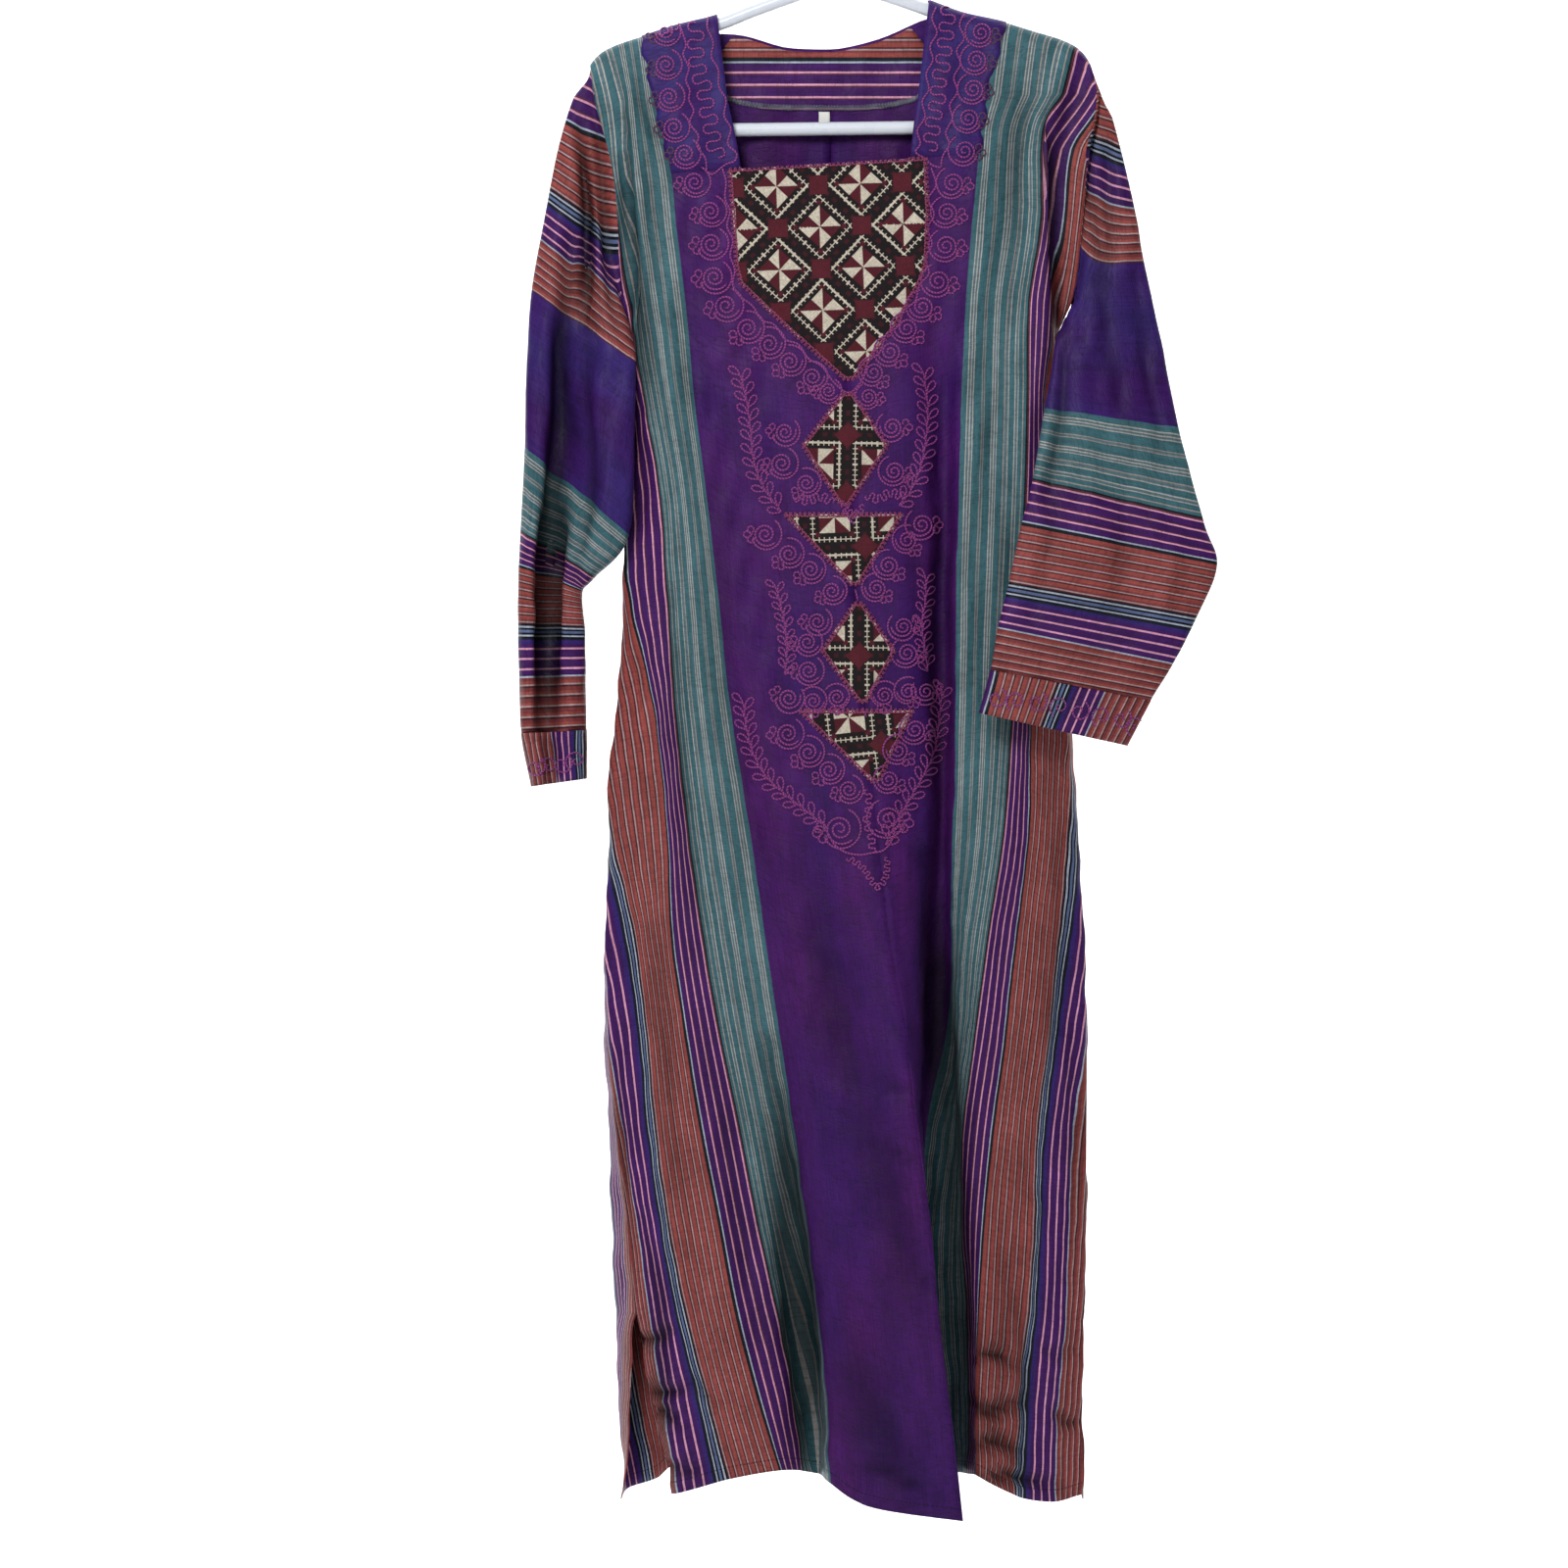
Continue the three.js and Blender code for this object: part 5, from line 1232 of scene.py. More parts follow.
def thicken(obj, wall):
    """Gives a sheet its wall on the inner side."""
    clear_selection()
    bpy.context.view_layer.objects.active = obj
    obj.select_set(True)
    solid = obj.modifiers.new("wall", "SOLIDIFY")
    solid.thickness = wall * MM
    solid.offset = -1
    bpy.ops.object.modifier_apply(modifier=solid.name)
    clear_selection()


def recalculated(obj):
    """Turns all faces outwards."""
    shape = bmesh.new()
    shape.from_mesh(obj.data)
    bmesh.ops.recalc_face_normals(shape, faces=shape.faces)
    shape.to_mesh(obj.data)
    shape.free()


def finish_sheet(obj, node):
    """Attaches a sheet to the root, and hides the solid of the node that it stands for.
    """
    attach(obj, "root")
    if node:
        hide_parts(node)


SHAPES = {}  # grids and search trees that later pieces lie on


def search_tree(grids):
    """A search tree over the outer sides of grids, in mm."""
    points, faces = [], []
    for grid in grids:
        rows, exists = grid["rows"], grid["exists"]
        start, wide = len(points), rows.shape[1]
        points += [Vector(point) for point in rows.reshape(-1, 3)]
        for i, j in zip(*np.nonzero(exists)):
            a = start + int(i) * wide + int(j)
            faces.append((a, a + wide, a + wide + 1, a + 1))
    return BVHTree.FromPolygons(points, faces)


def lay_on(tree, x, z, near=None):
    """Where a line along +Y first meets the tree at x and z, with the surface's normal towards the front."""
    place, normal, _, _ = tree.ray_cast(Vector((x, -400, z)), Vector((0, 1, 0)))
    if place is None:
        place, normal, _, _ = tree.find_nearest(Vector((x, -30 if near is None else near, z)))
    if normal.y > 0:
        normal = -normal
    return np.array(place), np.array(normal)


# Straps and patches


def strap_grid(side, panel):
    """The purple strap from the shoulder to the neckline, with its scalloped outer edge."""
    sign = -1 if side == "left" else 1
    levels, edges = [p[0] for p in STRAP_EDGE[side]], [p[1] for p in STRAP_EDGE[side]]
    rows, weft = [], []
    for row in panel["rows"][: panel["neck_row"] + 1]:
        neck = row[NECK * STATIONS]
        share = (neck[2] - NECKLINE) / (levels[0] - NECKLINE)
        bulge = abs(math.sin(share * SCALLOPS * math.pi)) - 0.5
        outer = along(levels, edges, neck[2]) + sign * SCALLOP_DEPTH * bulge
        part = row[(NECK - 1) * STATIONS : (ARM + 1) * STATIONS]
        order = np.argsort(part[:, 0])
        across = np.linspace(neck[0], outer, STRAP_COLUMNS + 1)
        columns = [np.interp(across, part[order, 0], part[order, k]) for k in (1, 2)]
        rows.append(np.stack([across, *columns], axis=1))
        weft.append(across)
    rows = np.array(rows)
    normals = normals_of(rows, (0, -1, 0))
    down = np.vstack([np.zeros(rows.shape[1]), np.cumsum(np.linalg.norm(np.diff(rows, axis=0), axis=2), axis=0)])
    exists = np.ones((rows.shape[0] - 1, rows.shape[1] - 1), bool)
    lifted = rows + normals * LAID_LIFT
    return {"rows": lifted, "exists": exists, "normals": normals, "weft": np.array(weft), "warp": down}


SEAT_GAP = 0.3


def patch_grid(name, tree):
    """A piece of old embroidery laid on the front, with its own turn of the pattern."""
    patch = PATCHES[name]
    outline = patch["outline"]
    keys = [row[0] for row in outline]
    levels = [keys[0]]
    for a, b in zip(keys, keys[1:]):
        steps = math.ceil((a - b) / PATCH_STEP)
        levels += [lerp(a, b, k / steps) for k in range(1, steps + 1)]
    rows, normals = [], []
    heights = [-key for key in keys]
    for level in levels:
        left, right = (float(np.interp(-level, heights, [row[side] for row in outline])) for side in (1, 2))
        ragged = PATCH_RAGGED * noise.noise(Vector((level * 0.21, 3.7, 0)))
        row, row_normals = [], []
        for x in np.linspace(left - ragged, right + ragged, PATCH_COLUMNS + 1):
            z = tilted(x, level)
            place, normal = lay_on(tree, x, z)
            row.append(place)
            row_normals.append(normal)
        rows.append(row)
        normals.append(row_normals)
    rows, normals = np.array(rows), np.array(normals)
    turn = math.radians(patch["turn"])
    x, z = rows[..., 0] - patch["middle"][0], rows[..., 2] - patch["middle"][1]
    weft = x * math.cos(turn) + z * math.sin(turn)
    warp = z * math.cos(turn) - x * math.sin(turn)
    exists = np.ones((rows.shape[0] - 1, rows.shape[1] - 1), bool)
    lifted = rows + normals * (LAID_LIFT + SEAT_GAP)
    return {"rows": lifted, "exists": exists, "normals": normals, "weft": weft, "warp": warp}


# Couched cords: all are drawn on the front as seen, x across and y down, in units of the drawing


def drawn(x, y):
    """A place in the drawing as x and z in mm."""
    return (x - DRAWING_MIDDLE) * DRAWING_SCALE, -(y + DRAWING_TOP) * DRAWING_SCALE


def spiral(x, y, size, start, clockwise, turns=2.05):
    """A spiral with a sweeping entry: points from its outer end to its middle."""
    way = 1 if clockwise else -1
    points = []
    for k in range(4):
        share = k / 4
        angle = math.radians(start) - way * (1 - share) * 0.45 * math.pi
        reach = size * lerp(1.2, 1.0, share)
        points.append((x + reach * math.cos(angle), y + reach * math.sin(angle)))
    count = int(turns * 13)
    for k in range(count + 1):
        share = k / count
        angle = math.radians(start) + way * share * turns * 2 * math.pi
        reach = size * lerp(1.0, 0.16, share)
        points.append((x + reach * math.cos(angle), y + reach * math.sin(angle)))
    return points


def joining_arc(x, y, size, facing, clockwise):
    """The arc in which the cord comes round a spiral to its clover."""
    way = -1 if clockwise else 1
    points = []
    for k in range(13):
        angle = math.radians(facing + way * lerp(238, 16, k / 12))
        reach = size * lerp(1.56, 1.26, (k / 12) ** 2)
        points.append((x + reach * math.cos(angle), y + reach * math.sin(angle)))
    return points


def clover(x, y, size, facing):
    """Three round petals of cord round one place, opening towards facing."""
    points = []
    for lobe in (-76, 0, 76):
        middle = math.radians(facing + lobe)
        centre = (x + 0.5 * size * math.cos(middle), y + 0.5 * size * math.sin(middle))
        for k in range(11):
            swing = middle + math.pi + 2 * math.pi * lerp(0.06, 0.94, k / 10)
            points.append((centre[0] + 0.33 * size * math.cos(swing), centre[1] + 0.33 * size * math.sin(swing)))
        points.append((x, y))
    return points


def meander(path, width, pitch, loop=0.26):
    """An omega-shaped wave along a path."""
    path = rounded_path([(x, y, 0) for x, y in path], 6)[:, :2]
    run = lengths_along(path)
    count = max(2, round(run[-1] / pitch))
    turns = np.linspace(0, count, count * 14 + 1)
    at = np.clip((turns - loop * np.sin(turns * 4 * math.pi) / 2) / count * run[-1], 0, run[-1])
    middle = np.stack([np.interp(at, run, path[:, k]) for k in (0, 1)], axis=1)
    ahead = np.stack([np.interp(np.clip(at + 2, 0, run[-1]), run, path[:, k]) for k in (0, 1)], axis=1)
    behind = np.stack([np.interp(np.clip(at - 2, 0, run[-1]), run, path[:, k]) for k in (0, 1)], axis=1)
    way = ahead - behind
    way /= np.maximum(np.linalg.norm(way, axis=1, keepdims=True), 1e-6)
    side = np.stack([-way[:, 1], way[:, 0]], axis=1)
    return [tuple(p) for p in middle + side * (width / 2 * np.sin(turns * 2 * math.pi))[:, None]]


def looped_border(path, size, pitch):
    """A chain of small loops along a path."""
    path = np.array(path, float)
    run = lengths_along(path)
    count = max(3, round(run[-1] / pitch))
    turns = np.arange(count * 7 + 1) / 7
    at = np.clip(turns / count * run[-1], 0, run[-1])
    middle = np.stack([np.interp(at, run, path[:, k]) for k in (0, 1)], axis=1)
    angle = turns * 2 * math.pi
    return [tuple(p) for p in middle + size * np.stack([np.cos(angle), np.sin(angle)], axis=1)]


def sprig(path, petal, pitch):
    """A stem with petals to either side by turns, drawn as one cord."""
    path = rounded_path([(x, y, 0) for x, y in path], 8)[:, :2]
    run = lengths_along(path)
    points, side = [], 1
    for at in np.arange(0, run[-1], pitch / 2):
        here = [float(np.interp(at, run, path[:, k])) for k in (0, 1)]
        then = [float(np.interp(min(at + 2, run[-1]), run, path[:, k])) for k in (0, 1)]
        way = math.atan2(then[1] - here[1], then[0] - here[0])
        for k in range(9):
            swing = way + math.pi - side * (0.72 + lerp(-0.5, 0.5, k / 8))
            reach = petal * math.sin(math.pi * k / 8) ** 0.6
            points.append((here[0] + reach * math.cos(swing), here[1] + reach * math.sin(swing)))
        side = -side
    return points


def laid_cord(points, tree, radius, lift=0.0, step=2.0):
    """A cord as tube points: places in mm with normals, from points of the drawing."""
    path = np.array([drawn(*point) for point in points])
    run = lengths_along(path)
    count = max(3, int(run[-1] / step))
    at = np.linspace(0, run[-1], count + 1)
    path = np.stack([np.interp(at, run, path[:, k]) for k in (0, 1)], axis=1)
    places, normals = [], []
    for x, z in path:
        place, normal = lay_on(tree, x, z)
        places.append(place + normal * (radius * 0.75 + lift))
        normals.append(normal)
    return np.array(places), np.array(normals)


def tube_mesh(cords, radius, sides=6):
    """Points, faces and UVs of round cords along their places. The ends are closed."""
    points, faces, uvs = [], [], []
    for places, normals in cords:
        way = np.gradient(places, axis=0)
        way /= np.maximum(np.linalg.norm(way, axis=1, keepdims=True), 1e-9)
        side = np.cross(way, normals)
        side /= np.maximum(np.linalg.norm(side, axis=1, keepdims=True), 1e-9)
        over = np.cross(side, way)
        run = lengths_along(places)
        first = len(points)
        for k in range(len(places)):
            narrow = 0.55 if k in (0, len(places) - 1) else 1.0
            for s in range(sides):
                angle = 2 * math.pi * s / sides
                points.append(places[k] + radius * narrow * (math.cos(angle) * side[k] + math.sin(angle) * over[k]))
                uvs.append((1000 * s / sides, run[k]))
        for k in range(len(places) - 1):
            for s in range(sides):
                a, b = first + k * sides + s, first + k * sides + (s + 1) % sides
                faces.append((a, b, b + sides, a + sides))
        faces.append(tuple(first + s for s in reversed(range(sides))))
        faces.append(tuple(first + (len(places) - 1) * sides + s for s in range(sides)))
    return points, faces, uvs


def cords_object(name, drawings, tree, radius, material, lift=0.0):
    """One object from a list of drawn cords."""
    cords = [laid_cord(points, tree, radius, lift) for points in drawings]
    points, faces, uvs = tube_mesh(cords, radius)
    obj = made_object(name, points, faces, uvs, material)
    recalculated(obj)
    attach(obj, "root")
    return obj


# The drawing of the embroidery: x to the right and y down, in units of DRAWING_SCALE mm
DRAWING_MIDDLE = 856
DRAWING_TOP = 125
DRAWING_SCALE = 0.87

SCROLLS_LEFT = [
    # x, y, size, where it starts (degrees, clockwise from the right), where its clover points, clover's dark
    (679, 33, 10.5, 115, 165, True), (680, 67, 10.7, 120, 165, True), (683, 100, 10.5, 120, 170, True),
    (688, 131, 10.5, 120, 175, True), (699, 158, 10.6, 120, 175, True), (709, 187, 10.8, 120, 170, False),
    (725, 217, 11, 120, 165, False), (726, 250, 11.5, 110, 175, False), (729, 284, 11.8, 110, 175, False),
    (741, 313, 11.8, 95, 165, False), (763, 336, 11.5, 75, 140, False), (785, 352, 11.2, 70, 135, False),
    (806, 370, 11, 70, 140, False), (829, 386, 10.5, 70, 130, False),
    (845, 400, 9, 100, 175, False), (801, 442, 10, 60, 185, False), (798, 474, 11, 120, 170, False),
    (823, 494, 10, 70, 130, False), (781, 546, 11, 120, 180, False), (805, 566, 10.5, 75, 140, False),
    (827, 582, 10.5, 70, 140, False), (849, 604, 10, 70, 150, False), (834, 635, 10, 60, 180, False),
    (824, 656, 10, 95, 175, False), (825, 685, 10.5, 110, 180, False), (805, 713, 10.5, 60, 200, False),
    (830, 716, 9.5, 80, 100, False), (854, 712, 9, 80, 90, False), (804, 749, 11, 110, 175, False),
    (825, 768, 11, 75, 140, False), (846, 786, 10.5, 75, 140, False), (866, 806, 10, 80, 160, False),
    (857, 846, 14, 120, 170, False),
]
SCROLLS_RIGHT = [
    (1001, 34, 10.5, 65, 15, True), (996, 62, 10.7, 60, 12, True), (993, 92, 10.7, 60, 10, True),
    (988, 122, 10.5, 60, 8, True), (984, 155, 10.8, 60, 5, True), (972, 188, 11, 60, 10, False),
    (966, 218, 11, 65, 15, False), (965, 252, 11.5, 70, 8, False), (957, 288, 11.5, 75, 15, False),
    (941, 314, 11.2, 95, 30, False), (925, 336, 11, 105, 40, False), (908, 360, 11, 110, 40, False),
    (891, 381, 10.5, 110, 45, False),
    (886, 406, 9, 80, 10, False), (910, 437, 10.5, 110, 0, False), (912, 482, 10.5, 80, 15, False),
    (940, 536, 11, 70, 0, False), (925, 552, 10, 110, 50, False), (906, 578, 10.5, 105, 40, False),
    (894, 601, 10, 110, 40, False), (921, 640, 10, 100, 350, False), (925, 667, 10.5, 70, 5, False),
    (902, 710, 9.5, 100, 90, False), (926, 706, 9.5, 100, 60, False), (944, 706, 9.5, 110, 340, False),
    (933, 745, 10.5, 70, 10, False), (916, 766, 10.5, 105, 40, False), (906, 796, 10, 100, 30, False),
    (905, 836, 13.5, 60, 10, False),
]
# Wavy lines on the straps and round the patches, as they run
WAVES = [
    [(723, 17), (722, 28), (728, 44), (726, 59), (733, 71), (734, 90), (741, 102), (739, 119), (746, 132),
     (743, 148), (752, 158), (750, 165), (742, 168), (736, 172), (727, 179), (721, 176)],
    [(694, 27), (700, 47), (697, 56), (703, 70), (700, 83), (704, 93), (703, 102), (708, 114), (704, 126),
     (713, 140), (711, 149), (720, 163), (721, 176)],
    [(955, 8), (951, 20), (956, 34), (949, 48), (952, 62), (945, 76), (948, 92), (941, 104), (944, 120),
     (936, 134), (939, 148), (934, 156), (944, 163), (952, 170), (960, 172)],
    [(985, 12), (979, 26), (984, 40), (976, 52), (980, 66), (973, 80), (977, 94), (969, 108), (972, 122),
     (965, 136), (969, 148), (962, 160), (960, 172)],
    [(737, 172), (741, 186), (740, 204), (745, 216), (742, 232), (748, 246), (745, 262), (750, 276), (748, 292),
     (756, 304), (768, 313), (778, 328), (790, 332), (802, 348), (814, 352), (826, 368), (838, 374), (850, 390),
     (866, 402), (880, 388), (886, 370), (898, 360), (904, 342), (916, 334), (922, 318), (934, 308), (938, 292),
     (948, 280), (944, 264), (951, 250), (946, 234), (953, 220), (947, 204), (955, 190), (950, 172)],
]
MEANDERS = [
    # path, width, pitch
    ([(711, 24), (710, 43), (711, 62), (714, 77), (719, 93), (721, 110), (725, 126), (728, 145), (733, 162)], 17, 17),
    ([(968, 8), (966, 28), (964, 48), (962, 66), (958, 84), (957, 102), (953, 120), (951, 138), (948, 154)], 16, 17),
    ([(812, 508), (824, 512), (838, 508), (850, 514)], 9, 9),
    ([(884, 506), (896, 510), (908, 504), (922, 508)], 9, 9),
    ([(862, 512), (864, 522), (872, 526), (882, 518)], 8, 8),
    ([(865, 875), (880, 885), (895, 905), (903, 895), (905, 875)], 6, 7),
    ([(885, 806), (887, 822), (884, 838), (889, 854), (890, 870)], 7, 9),
]
STEMS = [
    [(845, 850), (852, 862), (864, 870), (878, 872), (890, 870), (900, 868), (908, 860), (912, 848)],
    [(862, 520), (866, 530), (872, 536)],
    [(872, 602), (874, 608), (875, 614)],
    [(880, 722), (882, 728), (884, 732)],
]
SPRIGS = [
    # path, petal, pitch
    ([(756, 384), (762, 410), (766, 440), (769, 470), (778, 496), (798, 524)], 15, 13.5),
    ([(942, 382), (946, 412), (945, 442), (940, 474), (930, 500), (914, 520)], 15, 13.5),
    ([(759, 718), (762, 742), (768, 766), (780, 790), (798, 808), (826, 830), (850, 850)], 15, 13.5),
    ([(961, 706), (958, 734), (954, 762), (944, 786), (930, 812), (914, 838), (902, 864)], 15, 13.5),
    ([(792, 600), (798, 622), (802, 646), (803, 672), (800, 694)], 12.5, 12),
    ([(944, 590), (944, 612), (940, 636), (943, 662), (946, 686)], 12.5, 12),
]
CUFF_SCROLLS = {
    # x and y of each curl; its size, start and way are set where the curls are drawn
    "right": [(1016, 713), (1036, 716), (1057, 717), (1080, 721), (1100, 726), (1123, 731), (1143, 734), (1158, 741)],
    "left": [(546, 783), (560, 782), (574, 780), (588, 776)],
}
CUFF_CURL = 9.5
LOOP_SIZE = 2.3
LOOP_PITCH = 4.8


def patch_border(name):
    """The outline of a patch in the drawing, closed."""
    outline = PATCHES[name]["outline"]
    edge = [(left, level) for level, left, _ in outline] + [(right, level) for level, _, right in reversed(outline)]
    points = []
    for x, level in [*edge, edge[0]]:
        z = tilted(x, level)
        points.append((x / DRAWING_SCALE + DRAWING_MIDDLE, -z / DRAWING_SCALE - DRAWING_TOP))
    return points


PETAL_AWAY, PETAL_SIZE = 1.22, 0.95  # in units of the scroll's own size


def petals_of(scrolls):
    """The clovers beside scrolls, split into dark and bright ones."""
    dark, bright = [], []
    for x, y, size, _, facing, is_dark in scrolls:
        angle = math.radians(facing)
        place = (x + PETAL_AWAY * size * math.cos(angle), y + PETAL_AWAY * size * math.sin(angle))
        (dark if is_dark else bright).append(clover(*place, size * PETAL_SIZE, facing))
    return dark, bright


# Sheets of cloth: node, finish, how it is held, on what, and its cut in metres
CUTS = {
    "front_cloth_left": ("front_left", "striped_silk", "hung", ["hanger_tube"], 0.373, 1.345),
    "front_cloth_right": ("front_right", "striped_silk", "hung", ["hanger_tube"], 0.373, 1.345),
    "back_cloth_left": ("back_left", "striped_silk", "hung", ["hanger_tube"], 0.373, 1.345),
    "back_cloth_right": ("back_right", "striped_silk", "hung", ["hanger_tube"], 0.373, 1.345),
    "sleeve_cloth_left": ("sleeve_left", "striped_silk", "hung", ["front_cloth_left"], 0.43, 0.62),
    "sleeve_cloth_right": ("sleeve_right", "striped_silk", "hung", ["front_cloth_right"], 0.43, 0.62),
    "cuff_cloth_left": ("cuff_left", "striped_silk", "hung", ["sleeve_cloth_left"], 0.2, 0.05),
    "cuff_cloth_right": ("cuff_right", "striped_silk", "hung", ["sleeve_cloth_right"], 0.3, 0.05),
    "shoulder_strap_left": ("yoke_left", "purple_silk", "laid", ["front_cloth_left"], 0.085, 0.16),
    "shoulder_strap_right": ("yoke_right", "purple_silk", "laid", ["front_cloth_right"], 0.085, 0.16),
    "stitched_chest_panel": ("chest_panel", "cross_stitch", "laid", ["front_cloth_left"], 0.18, 0.2),
    "stitched_diamond_upper": ("diamond_upper", "cross_stitch", "laid", ["front_cloth_left"], 0.08, 0.11),
    "stitched_triangle_upper": ("triangle_upper", "cross_stitch", "laid", ["front_cloth_left"], 0.11, 0.07),
    "stitched_diamond_lower": ("diamond_lower", "cross_stitch", "laid", ["front_cloth_left"], 0.07, 0.09),
    "stitched_triangle_lower": ("triangle_lower", "cross_stitch", "laid", ["front_cloth_left"], 0.11, 0.07),
    "neck_facing_back": ("facing_back_neck", "striped_silk", "laid", ["back_cloth_left"], 0.2, 0.07),
    "size_label": ("label_blank", "label_cloth", "laid", ["back_cloth_left"], 0.01, 0.0135),
}


# Settings and operators


class KaftanSettings(bpy.types.PropertyGroup):
    """Sizes and colours of the dress that a user would change."""

    cloth_wall: bpy.props.FloatProperty(
        name="Cloth thickness", description="Wall of the silk panels and sleeves", default=0.0009,
        min=0.0003, max=0.003, subtype="DISTANCE", unit="LENGTH",
    )
    patch_wall: bpy.props.FloatProperty(
        name="Patch thickness", description="Wall of the cross-stitch patches and straps", default=0.0008,
        min=0.0003, max=0.003, subtype="DISTANCE", unit="LENGTH",
    )
    cord_radius: bpy.props.FloatProperty(
        name="Cord radius", description="Half the thickness of the couched cord", default=0.0008,
        min=0.0003, max=0.003, subtype="DISTANCE", unit="LENGTH",
    )
    # the bright ply: the cord's magenta, partly lightened as painted highlight
    cord_bright_ply_and_highlight: bpy.props.FloatVectorProperty(
        name="Cord, bright ply", description="Colour of the cord's magenta ply", default=srgb(160, 56, 136),
        size=3, min=0, max=1, subtype="COLOR",
    )
    # the dark ply: painted shade in the grooves between the cord's turns
    cord_dark_ply_and_groove_shade: bpy.props.FloatVectorProperty(
        name="Cord, dark ply", description="Colour of the cord's violet ply", default=srgb(64, 24, 82),
        size=3, min=0, max=1, subtype="COLOR",
    )
    plastic: bpy.props.FloatVectorProperty(
        name="Hanger", description="Colour of the hanger's plastic", default=srgb(206, 211, 220),
        size=3, min=0, max=1, subtype="COLOR",
    )


class KaftanOperator:
    bl_options = {"REGISTER", "UNDO"}


RING_WELD = 0.0002  # metres
TIP_STEPS = (0.35, 0.65, 0.88)  # the round tip's sections, in shares of the radius


def swept_tube(name, path, radius, is_ring):
    """A tube modelled along a path in the XZ plane: a circle that is extruded and turned from point to point."""
    way = np.gradient(path, axis=0)
    if is_ring:
        way[0] = way[-1] = path[1] - path[-2]
    angles = np.unwrap(np.arctan2(way[:, 0], way[:, 2]))
    clear_selection()
    bpy.ops.mesh.primitive_circle_add(
        vertices=TUBE_SIDES, radius=radius * MM, location=path[0] * MM, rotation=(0, angles[0], 0)
    )
    obj = bpy.context.object
    obj.name = obj.data.name = name
    bpy.ops.object.transform_apply(location=True, rotation=True, scale=True)
    bpy.ops.object.mode_set(mode="EDIT")
    bpy.ops.mesh.select_all(action="SELECT")
    for k in range(1, len(path)):
        bpy.ops.mesh.extrude_edges_move(TRANSFORM_OT_translate={"value": tuple((path[k] - path[k - 1]) * MM)})
        turn = angles[k - 1] - angles[k]
        bpy.ops.transform.rotate(value=float(turn), orient_axis="Y", center_override=tuple(path[k] * MM))
    if is_ring:
        bpy.ops.mesh.select_all(action="SELECT")
        bpy.ops.mesh.remove_doubles(threshold=RING_WELD)
    else:
        tip = way[-1] / np.linalg.norm(way[-1])
        last, reach = path[-1], 1.0
        for further in TIP_STEPS:
            width = math.sqrt(1 - further * further)
            step = path[-1] + tip * radius * further
            bpy.ops.mesh.extrude_edges_move(TRANSFORM_OT_translate={"value": tuple((step - last) * MM)})
            bpy.ops.transform.resize(value=(width / reach,) * 3, center_override=tuple(step * MM))
            reach, last = width, step
        bpy.ops.mesh.select_all(action="DESELECT")
        bpy.ops.mesh.select_mode(type="EDGE")
        bpy.ops.mesh.select_non_manifold(extend=False)
        bpy.ops.mesh.fill()
    bpy.ops.mesh.select_all(action="SELECT")
    bpy.ops.mesh.normals_make_consistent(inside=False)
    bpy.ops.object.mode_set(mode="OBJECT")
    return obj


def ring_path():
    """The middle of the hanger's arms and bar, from the bar's left end over the arms and back."""
    left, right = hanger_points(-1), hanger_points(1)
    arms = rounded_path(left[::-1] + right[1:], 4)
    bar = [lerp(right[-1], left[-1], share) for share in np.linspace(0, 1, BAR_STEPS + 1)[1:]]
    return np.vstack([arms, bar])


def hook_path():
    bend = HOOK_BEND + HOOK_RADIUS
    top = HANGER_ARM[0][1]
    points = [(0, 0, top), (0, 0, top + HOOK_STEM), (2, 0, top + HOOK_STEM + 8)]
    for degrees in range(-50, 191, 20):
        angle = math.radians(degrees)
        points.append((bend * math.cos(angle), 0, bend * math.sin(angle) - HOOK_BEND))
    return rounded_path(points, 3)


class KAFTAN_OT_hanger(KaftanOperator, bpy.types.Operator):
    """Models the tubular hanger: arms, round ends, bar and hook"""

    bl_idname = "kaftan.hanger"
    bl_label = "Hanger"

    def execute(self, context):
        ring = swept_tube("hanger_tube", ring_path(), TUBE_RADIUS, True)
        hook = swept_tube("hanger_hook", hook_path(), HOOK_RADIUS, False)
        clear_selection()
        hook.select_set(True)
        ring.select_set(True)
        context.view_layer.objects.active = ring
        bpy.ops.object.join()
        bpy.ops.object.shade_smooth_by_angle(angle=math.radians(50))
        ring.data.materials.clear()
        ring.data.materials.append(plastic_material("pale plastic", tuple(context.scene.kaftan.plastic)))
        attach(ring, "root")
        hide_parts("hanger")
        clear_selection()
        return {"FINISHED"}


class KAFTAN_OT_panels(KaftanOperator, bpy.types.Operator):
    """Hangs the two front and the two back widths of striped cloth"""

    bl_idname = "kaftan.panels"
    bl_label = "Panels"

    def execute(self, context):
        cloth = striped_cloth("striped silk, body", SEAM_ALLOWANCE, "magenta", hem_line=True)
        for is_back in (False, True):
            for side in ("left", "right"):
                grid = panel_of(side, is_back)
                place = "back" if is_back else "front"
                SHAPES[f"{place}_{side}"] = grid
                obj = grid_object(f"{place}_cloth_{side}", grid, cloth)
                thicken(obj, context.scene.kaftan.cloth_wall / MM)
        SHAPES["front"] = search_tree([SHAPES["front_left"], SHAPES["front_right"]])
        SHAPES["back"] = search_tree([SHAPES["back_left"], SHAPES["back_right"]])
        return {"FINISHED"}


